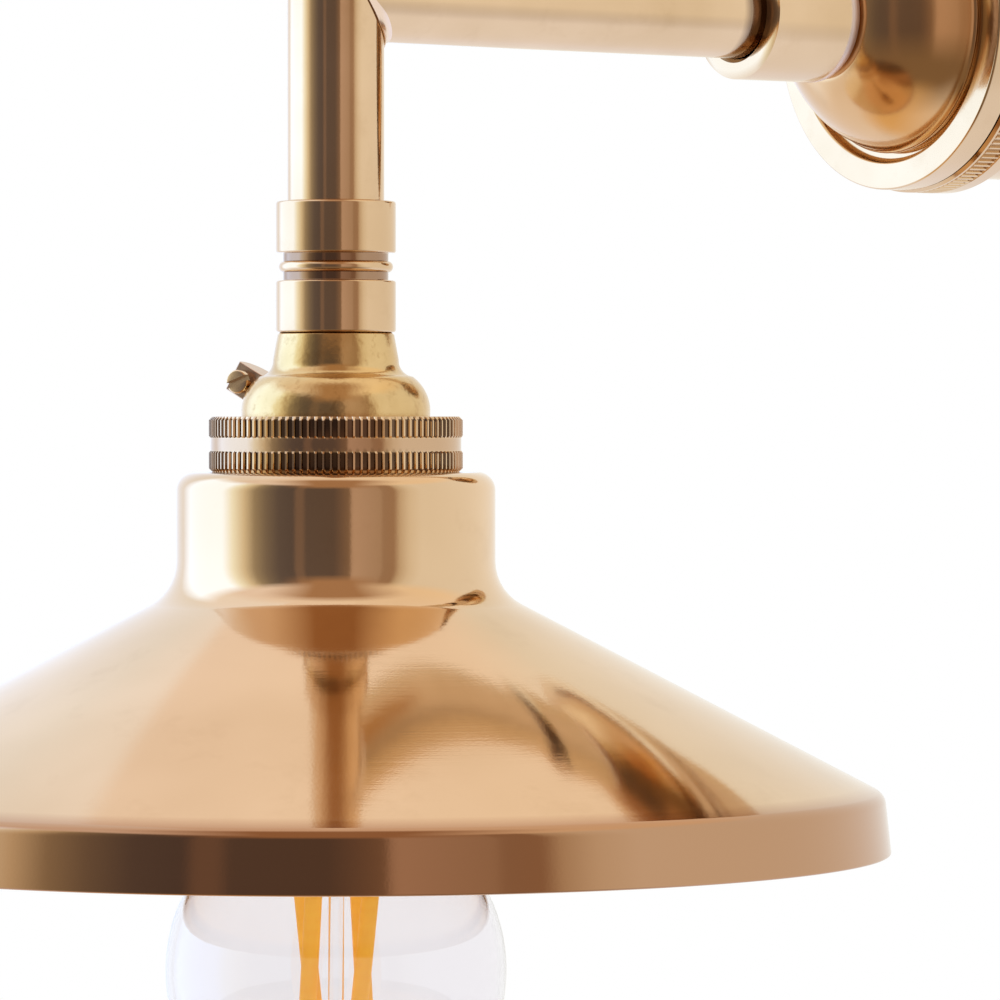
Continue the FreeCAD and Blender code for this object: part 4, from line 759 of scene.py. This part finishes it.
wallBaseShape = {"radius": 21.9, "inner": 19.5, "depth": 21.2, "floor": 2.0, "hole": 5.0,
                 "screwHole": 2.2, "screwOut": 14.5, "drill": 12}
plateShape = {"radius": 23.8, "back": 21.3, "front": 25.3, "recess": 20.0, "floor": 23.5, "cove": 1.5,
              "hole": 5.1, "spigot": 19.45, "spigotIn": 16.95, "spigotBack": 15.3}
bellShape = {"lip": 18.4, "foot": 23.5, "lipFront": 25.1, "beadTall": 0.9, "beadRound": 0.49, "top": 8.6,
             "front": 37.0, "hole": 5.1, "wall": 1.2, "bow": 18.3}
collarShape = {"tapped": 5.05, "radius": 9.2, "back": 37.0, "front": 52.8, "crown": 0.5, "crownBow": 6.0,
               "mouth": 6.95, "mouthDeep": 0.5, "socket": 6.45, "seat": 44.8, "round": 2.2}


def makePlate(s):
    outline = soften([
        (s["hole"], s["back"]), (s["spigotIn"], s["back"]), (s["spigotIn"], s["spigotBack"]),
        (s["spigot"], s["spigotBack"], 0.2), (s["spigot"], s["back"]), (s["radius"], s["back"], 0.12),
        (s["radius"], s["front"], 0.3), (s["recess"], s["front"], 0.35), (s["recess"], s["floor"], s["cove"]),
        (s["hole"], s["floor"]),
    ])
    return turnPiece("frontPlateTurned", outline, 192, onArm=True)


def makeBell(s):
    wall = s["wall"]
    beadFoot = (s["lip"], s["lipFront"] - s["beadTall"])
    lip, top = (s["lip"], s["lipFront"]), (s["top"], s["front"])
    inTop, inLip = (s["top"] - wall / 2, s["front"] - wall), (s["lip"] - wall, s["lipFront"])
    outline = [(s["lip"] - wall, s["foot"]), (s["lip"] - 0.1, s["foot"]), (s["lip"], s["foot"] + 0.1),
               beadFoot]
    outline += bow(beadFoot, lip, s["beadRound"], -1, 10) + [lip]
    outline += bow(lip, top, s["bow"], -1, 24)
    outline += [top, (s["hole"], s["front"]), (s["hole"], s["front"] - wall), inTop]
    outline += bow(inTop, inLip, s["bow"] - wall, 1, 18) + [inLip]
    return turnPiece("bellDomeTurned", outline, 192, onArm=True, smooth=50)


def makeCollar(s):
    edge, lip = (s["radius"], s["front"] - s["crown"]), (s["mouth"], s["front"])
    outline = soften([(s["tapped"], s["back"]), (s["radius"], s["back"], s["round"]), edge])
    outline += bow(edge, lip, s["crownBow"], -1, 8)
    outline += [lip, (s["socket"], s["front"] - s["mouthDeep"]), (s["socket"], s["seat"]),
                (s["tapped"], s["seat"])]
    return turnPiece("armCollarTurned", outline, 144, onArm=True)


def makeWallBase(s):
    outline = soften([
        (s["hole"], 0, 0.1), (s["radius"], 0, 0.3), (s["radius"], s["depth"], 0.3),
        (s["inner"], s["depth"], 0.3), (s["inner"], s["floor"], 0.6), (s["hole"], s["floor"], 0.1),
    ])
    piece = turnPiece("wallBaseTurned", outline, 192, onArm=True)
    for side in (1, -1):
        startFresh()
        bpy.ops.mesh.primitive_cylinder_add(vertices=48, radius=s["screwHole"] * mm, depth=s["drill"] * mm,
                                            location=(0, 0, side * s["screwOut"] * mm),
                                            rotation=(math.pi / 2, 0, 0))
        cutWith(piece, bpy.context.object)
    shade(piece)
    return piece


finishPiece(makePlate(plateShape), "arm", "brass_turned", "turnedArm", "front_plate")
finishPiece(makeBell(bellShape), "arm", "brass_turned", "bell", "bell_dome")
finishPiece(makeCollar(collarShape), "arm", "brass_turned", "collar", "arm_collar")
finishPiece(makeWallBase(wallBaseShape), "wall", "brass_turned", "turnedArm", "wall_base")
print("wall end made")


# bulb: globe, stem, filaments, supports and cap

bulbShape = {"neck": 10.5, "neckTop": -92.8, "leave": -102.28, "meetR": 14.65, "meet": -111.36, "sweep": 12.0,
             "globe": 22.4, "bottom": -150.7, "wall": 0.8}


def makeGlobe(s):
    wall = s["wall"]
    outline = [(s["neck"] - wall, s["neckTop"]), (s["neck"], s["neckTop"]), (s["neck"], s["leave"])]
    outline += bow((s["neck"], s["leave"]), (s["meetR"], s["meet"]), s["sweep"], 1, 14)
    centre = s["bottom"] + s["globe"]
    first = math.atan2(s["meet"] - centre, s["meetR"])
    outline += [(s["globe"] * math.cos(a), centre + s["globe"] * math.sin(a))
                for a in [first - (first + math.pi / 2) * k / 44 for k in range(44)]] + [(0, s["bottom"])]
    inner = s["globe"] - wall
    outline += [(0, s["bottom"] + wall)]
    outline += [(inner * math.cos(a), centre + inner * math.sin(a))
                for a in [-math.pi / 2 + (first + math.pi / 2) * k / 44 for k in range(1, 45)]]
    innerMeet = outline[-1]
    outline += bow(innerMeet, (s["neck"] - wall, s["leave"]), s["sweep"] + wall, -1, 14)
    outline += [(s["neck"] - wall, s["leave"])]
    return turnPiece("bulbGlobe", outline, 160, smooth=60)


stemShape = {"rod": 1.05, "bottom": -143.3, "tube": 3.5, "tubeEnd": -100.8, "top": -91.8, "flare": 9.6}


def makeStem(s):
    outline = soften([
        (0, s["bottom"]), (s["rod"], s["bottom"], 0.5), (s["rod"], s["tubeEnd"] - 2.4, 1.5),
        (s["tube"], s["tubeEnd"] + 0.6, 2.0), (s["tube"], s["top"] - 3.4, 3.0),
        (s["flare"], s["top"] - 0.9, 0.3), (s["flare"], s["top"], 0.3), (0, s["top"]),
    ], closed=False)
    return turnPiece("stemGlassDrawn", outline, 64, closed=False, smooth=60)


filamentShape = {"radius": 1.15, "topR": 6.0, "footR": 4.7, "topTurn": 121.3, "footTurn": 81.3,
                 "top": -108.1, "foot": -142.1, "bare": 0.9, "end": 0.45, "tab": 1.5, "tabWide": 0.9,
                 "tabThick": 0.3, "tabEdge": 0.08}


def ringPoint(radius, turn, level):
    angle = math.radians(turn)
    return Vector((radius * math.cos(angle), radius * math.sin(angle) - lampOut, level)) * mm


def makeFilament(s, number):
    # amber rod with a metal tab at each end
    top = ringPoint(s["topR"], s["topTurn"] + 90 * number, s["top"])
    foot = ringPoint(s["footR"], s["footTurn"] + 90 * number, s["foot"])
    length = (top - foot).length / mm
    turn = (top - foot).to_track_quat("Z", "Y").to_matrix().to_4x4()
    bare = s["bare"]
    outline = soften([(0, bare), (s["radius"], bare, s["end"]), (s["radius"], length - bare, s["end"]),
                      (0, length - bare)], closed=False)
    piece = spinOutline(f"ledRod{number + 1}", outline, 32, closed=False)
    startFresh()
    standAt(piece, Matrix.Translation(foot) @ turn, 60)
    tabs = []
    for name, middle in (("Foot", s["tab"] / 2), ("Top", length - s["tab"] / 2)):
        tab = makeBlock((s["tabWide"], s["tabThick"], s["tab"]))
        tab.name = tab.data.name = f"ledTab{name}{number + 1}"
        wearEdges(tab, s["tabEdge"], 2)
        standAt(tab, Matrix.Translation(foot) @ turn @ Matrix.Translation((0, 0, middle * mm)))
        tabs.append(tab)
    return piece, tabs


supportShape = {"wire": 0.25, "wireEdge": 0.08, "hub": 1.7, "hubTall": 1.2, "bore": 1.05, "gap": 0.15,
                "lean": 0.12}


def makeSupport(s, name, level, reach, firstTurn):
    # hub on the stem with a straight wire to each filament
    low, high = level - s["hubTall"] / 2, level + s["hubTall"] / 2
    outline = soften([(s["bore"], low), (s["hub"], low, 0.2), (s["hub"], high, 0.2), (s["bore"], high)])
    hub = turnPiece(name, outline, 40)
    for number in range(4):
        start = ringPoint(s["hub"] - 0.3, firstTurn + 90 * number, level)
        end = ringPoint(reach, firstTurn + 90 * number, level)
        startFresh()
        bpy.ops.mesh.primitive_cylinder_add(vertices=12, radius=s["wire"] * mm, depth=(end - start).length)
        wire = bpy.context.object
        bpy.ops.object.mode_set(mode="EDIT")
        bpy.ops.mesh.select_all(action="SELECT")
        bpy.ops.mesh.bevel(offset=s["wireEdge"] * mm, segments=2, affect="EDGES")
        bpy.ops.object.mode_set(mode="OBJECT")
        standAt(wire, Matrix.Translation((start + end) / 2)
                @ (end - start).to_track_quat("Z", "Y").to_matrix().to_4x4())
        pick(hub)
        wire.select_set(True)
        bpy.ops.object.join()
    return hub


finishPiece(makeGlobe(bulbShape), "bulb", "clear_glass", "bulbGlass", "bulb_glass")
finishPiece(makeStem(stemShape), "bulb", "clear_glass", "stemGlass", "bulb_stem")
for number in range(4):
    rod, tabs = makeFilament(filamentShape, number)
    finishPiece(rod, "bulb", "led_phosphor", "phosphor", f"led_filament_{number + 1}")
    for tab in tabs:
        finishPiece(tab, "bulb", "spring_steel", "steel")
# each support stands clear of the tabs' ends, which lean with the rods
lift = supportShape["wire"] + supportShape["gap"] + filamentShape["radius"] * supportShape["lean"]
for end, way in (("top", 1), ("foot", -1)):
    support = makeSupport(supportShape, f"support{end.capitalize()}Wires", filamentShape[end] + way * lift,
                          filamentShape[end + "R"], filamentShape[end + "Turn"])
    finishPiece(support, "bulb", "spring_steel", "steel", f"filament_support_{end}")


bulbCapShape = {"radius": 11.0, "wall": 0.35, "top": -78.2, "bottom": -100.8}


def makeBulbCap(s):
    # thin pressed cap, turned in at the top
    radius, top, inner, lip = s["radius"], s["top"], s["radius"] - s["wall"], s["radius"] - s["wall"] * 2
    outline = soften([
        (radius, s["bottom"], 0.1), (radius, top, 0.6), (lip, top, 0.05), (lip, top - 0.3),
        (inner, top - 0.6), (inner, s["bottom"], 0.1),
    ])
    return turnPiece("bulbCapPressed", outline, 128)


finishPiece(makeBulbCap(bulbCapShape), "bulb", "cap_metal", "capMetal", "bulb_cap")
print("bulb made")


# plunger springs: open coils, built at rest; on the real holder they shorten as their plungers go up

springShape = {"wire": 0.25, "turns": 5, "steps": 24, "travel": 2.0}


def makeSpring(s, name):
    low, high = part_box(f"plunger_spring_{name}")
    middle = (low + high) / 2
    wire, rise = s["wire"] * mm, high.z - low.z - 2 * s["wire"] * mm
    radius = (high.x - low.x) / 2 - wire
    count = s["turns"] * s["steps"]
    path = bpy.data.curves.new(f"spring{name.capitalize()}", "CURVE")
    path.dimensions, path.bevel_depth, path.bevel_resolution, path.use_fill_caps = "3D", wire, 3, True
    coil = path.splines.new("POLY")
    coil.points.add(count)
    for step, point in enumerate(coil.points):
        angle = 2 * math.pi * step / s["steps"]
        point.co = (middle.x + radius * math.cos(angle), middle.y + radius * math.sin(angle),
                    low.z + wire + rise * step / count, 1)
    piece = bpy.data.objects.new(path.name, path)
    bpy.context.collection.objects.link(piece)
    pick(piece)
    bpy.ops.object.convert(target="MESH")
    shade(piece)
    finishPiece(piece, "arm", "spring_steel", "steel", f"plunger_spring_{name}")
    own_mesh(piece)


for name in ("live", "neutral"):
    makeSpring(springShape, name)
print("springs made")


# CAD nodes that stay as they are

nodePaints = {
    "rubber": ["cable_grommet"], "insideArm": ["wall_nipple", "backing_washer", "backing_nut"],
    "inside": ["drop_nipple", "plunger_live", "plunger_neutral", "terminal_live", "terminal_neutral",
               "terminal_screws"],
    "turnedLamp": ["holder_body"], "holderInsulator": ["holder_insulator"],
    "capMetal": ["bulb_pin_left", "bulb_pin_right"], "bulbInsulator": ["bulb_base"],
    "solder": ["bulb_contact_live", "bulb_contact_neutral"], "board": ["bulb_driver"],
    "wireBrown": ["wire_live"], "wireBlue": ["wire_neutral"], "wireGreen": ["wire_earth"],
}
for paint, names in nodePaints.items():
    for name in names:
        dress(nodes[name].data, paint)
print("CAD nodes dressed:", sum(len(names) for names in nodePaints.values()))


# studio: white behind the fitting, a broad light from the left and a weaker one from the right;
# the metal reflects a room that is darker behind the camera

cameraPlace = {"position": (0.6391, -0.5689, -0.0545), "heading": (-0.802, 0.597), "pitch": 0.886,
               "lens": 214.2}
lampAim = (0, -0.10, -0.06)
studio = {
    "towardCamera": (0.802, -0.597, 0), "right": (0.597, 0.802, 0), "plainLight": 0.85, "strongest": 3.1,
    # what the metal sees around it: degrees from the camera's side, right is positive
    "round": [
        (-180, (1.05, 1.15, 1.35)), (-142, (1.05, 1.15, 1.35)), (-128, (1.45, 1.95, 3.00)),
        (-88, (1.45, 1.95, 3.00)), (-78, (1.22, 1.42, 1.55)), (-68, (0.90, 0.88, 0.76)),
        (-59, (0.42, 0.38, 0.31)), (-50, (0.25, 0.22, 0.20)), (-40, (0.15, 0.13, 0.14)),
        (-29, (0.13, 0.11, 0.12)), (-27, (0.24, 0.175, 0.155)), (-22, (0.24, 0.175, 0.155)),
        (-20, (0.15, 0.12, 0.12)), (0, (0.15, 0.115, 0.11)), (6, (0.22, 0.155, 0.13)),
        (11.5, (0.29, 0.20, 0.15)), (13, (0.63, 0.48, 0.42)), (22, (0.58, 0.44, 0.38)),
        (34, (0.52, 0.39, 0.32)), (35.5, (0.44, 0.31, 0.24)), (44, (0.44, 0.30, 0.22)),
        (48, (0.72, 0.62, 0.52)), (56, (0.93, 0.89, 0.84)), (66, (1.02, 1.02, 1.04)),
        (110, (1.00, 1.00, 1.02)), (135, (1.02, 1.02, 1.02)), (180, (0.98, 0.97, 0.92)),
    ],
    # each From is the height where its zone begins, between straight down, -1, and straight up, 1
    "ceilingLeft": (1.06, 1.02, 1.13), "ceilingRight": (1.12, 0.99, 0.86), "ceilingFrom": 0.60,
    "window": (1.12, 1.17, 1.36), "windowEdge": -0.235,
    "overCamera": (0.50, 0.31, 0.20), "overCameraFrom": 0.35,
    "underSide": (1.04, 1.10, 1.32), "underCamera": (0.28, 0.21, 0.15), "underFrom": -0.20,
    "straightDown": (0.98, 0.76, 0.46), "straightDownFrom": -0.80,
}


def makeWorld(s):
    world = bpy.data.worlds.new("studio")
    bpy.context.scene.world = world
    world.use_nodes = True
    tree = world.node_tree
    tree.nodes.clear()
    way = addNode(tree, "ShaderNodeTexCoord", None, None, "Generated")
    toCamera, toRight = [addNode(tree, "ShaderNodeVectorMath", {"operation": "DOT_PRODUCT"},
                                 {0: way, 1: s[side]}, "Value") for side in ("towardCamera", "right")]
    around = addNode(tree, "ShaderNodeMath", {"operation": "ARCTAN2"}, {0: toRight, 1: toCamera})

    def level(tone):
        return tuple(c / s["strongest"] for c in tone)

    stops = [(degrees / 360 + 0.5, level(tone)) for degrees, tone in s["round"]]
    ring = addNode(tree, "ShaderNodeValToRGB", {"stops": stops, "blend": "LINEAR"},
                   {0: around / (2 * math.pi) + 0.5})
    apart = tree.nodes.new("ShaderNodeSeparateXYZ")
    tree.links.new(way.socket, apart.inputs[0])
    height = Wire(tree, apart.outputs[2])
    rightShare = clamp01(toRight * 0.8 + 0.5)
    ceiling = mixColour(tree, rightShare, level(s["ceilingLeft"]), level(s["ceilingRight"]))
    under = mixColour(tree, clamp01(toCamera * 2.0), level(s["underSide"]), level(s["underCamera"]))
    window = clamp01((s["windowEdge"] - toRight) * 60) * clamp01(toCamera * -4.0)
    ceiling = mixColour(tree, window, ceiling, level(s["window"]))
    reflected = mixColour(tree, clamp01((height - s["ceilingFrom"]) * 7.0), ring, ceiling)
    aside = addNode(tree, "ShaderNodeMath", {"operation": "ABSOLUTE"}, {0: toRight})
    inFront = (clamp01((height - s["overCameraFrom"]) * 4.0) * clamp01(toCamera * 4.0)
               * clamp01(1.5 - aside * 2.6))
    reflected = mixColour(tree, inFront, reflected, level(s["overCamera"]))
    reflected = mixColour(tree, clamp01((s["underFrom"] - height) * 2.5), reflected, under)
    steep = clamp01((s["straightDownFrom"] - height) * 8.0) * clamp01(0.6 - toRight * 2.0)
    reflected = mixColour(tree, steep, reflected, level(s["straightDown"]))
    rays = tree.nodes.new("ShaderNodeLightPath")
    isCamera, isGlossy, isThrough = [Wire(tree, rays.outputs[f"Is {kind} Ray"])
                                     for kind in ("Camera", "Glossy", "Transmission")]
    paper = (1, 1, 1, 1)
    plain, mirrored, white = [
        addNode(tree, "ShaderNodeBackground", None, {"Color": tone, "Strength": strength})
        for tone, strength in ((paper, s["plainLight"]), (reflected, s["strongest"]), (paper, 1.0))]
    lit = addNode(tree, "ShaderNodeMixShader", None, {0: isGlossy, 1: plain, 2: mirrored})
    seen = addNode(tree, "ShaderNodeMixShader", None, {0: clamp01(isCamera + isThrough), 1: lit, 2: white})
    out = tree.nodes.new("ShaderNodeOutputWorld")
    tree.links.new(seen.socket, out.inputs["Surface"])


def makeLamp(name, place, size, power):
    startFresh()
    bpy.ops.object.light_add(type="AREA", location=place)
    lamp = bpy.context.object
    lamp.name = name
    lamp.data.shape = "RECTANGLE"
    lamp.data.size, lamp.data.size_y = size
    lamp.data.energy = power
    lamp.visible_camera = lamp.visible_glossy = lamp.visible_transmission = False
    lamp.rotation_euler = (Vector(lampAim) - Vector(place)).to_track_quat("-Z", "Y").to_euler()


def makeCamera(s):
    startFresh()
    pitch = math.radians(s["pitch"])
    look = Vector((s["heading"][0] * math.cos(pitch), s["heading"][1] * math.cos(pitch), -math.sin(pitch)))
    bpy.ops.object.camera_add(location=s["position"], rotation=look.to_track_quat("-Z", "Y").to_euler())
    camera = bpy.context.object
    camera.data.sensor_width = 36
    camera.data.lens = s["lens"]
    camera.data.clip_start = 0.02
    camera.data.clip_end = 20
    bpy.context.scene.camera = camera


def makeFloor(level, size):
    startFresh()
    bpy.ops.mesh.primitive_plane_add(size=size, location=(0, -0.12, level))
    floor = bpy.context.object
    floor.name = "floor"
    material, tree = newMaterial("floorPaint")
    mottle = noise(tree, place3(tree)[0], 6.0, 2.0)
    colour = mixColour(tree, mottle, (0.86, 0.86, 0.86), (0.90, 0.90, 0.90))
    matte = addNode(tree, "ShaderNodeBsdfPrincipled", None, {"Base Color": colour, "Roughness": 0.8})
    clear = addNode(tree, "ShaderNodeBsdfTransparent")
    # the metal sees the surroundings instead of the floor's edge, and from below the floor is left out
    isGlossy = addNode(tree, "ShaderNodeLightPath", None, None, "Is Glossy Ray")
    isUnder = addNode(tree, "ShaderNodeNewGeometry", None, None, "Backfacing")
    closeMaterial(tree, addNode(tree, "ShaderNodeMixShader", None,
                                {0: clamp01(isGlossy + isUnder), 1: matte, 2: clear}))
    floor.data.materials.append(material)


makeWorld(studio)
makeLamp("keyLight", (-0.55, -0.95, 0.45), (0.55, 0.55), 5.0)
makeLamp("fillLight", (0.95, 0.10, 0.15), (0.5, 0.7), 2.5)
makeCamera(cameraPlace)
makeFloor(-0.42, 3.0)
bpy.context.scene.view_settings.view_transform = "Standard"
startFresh()
bpy.context.view_layer.update()
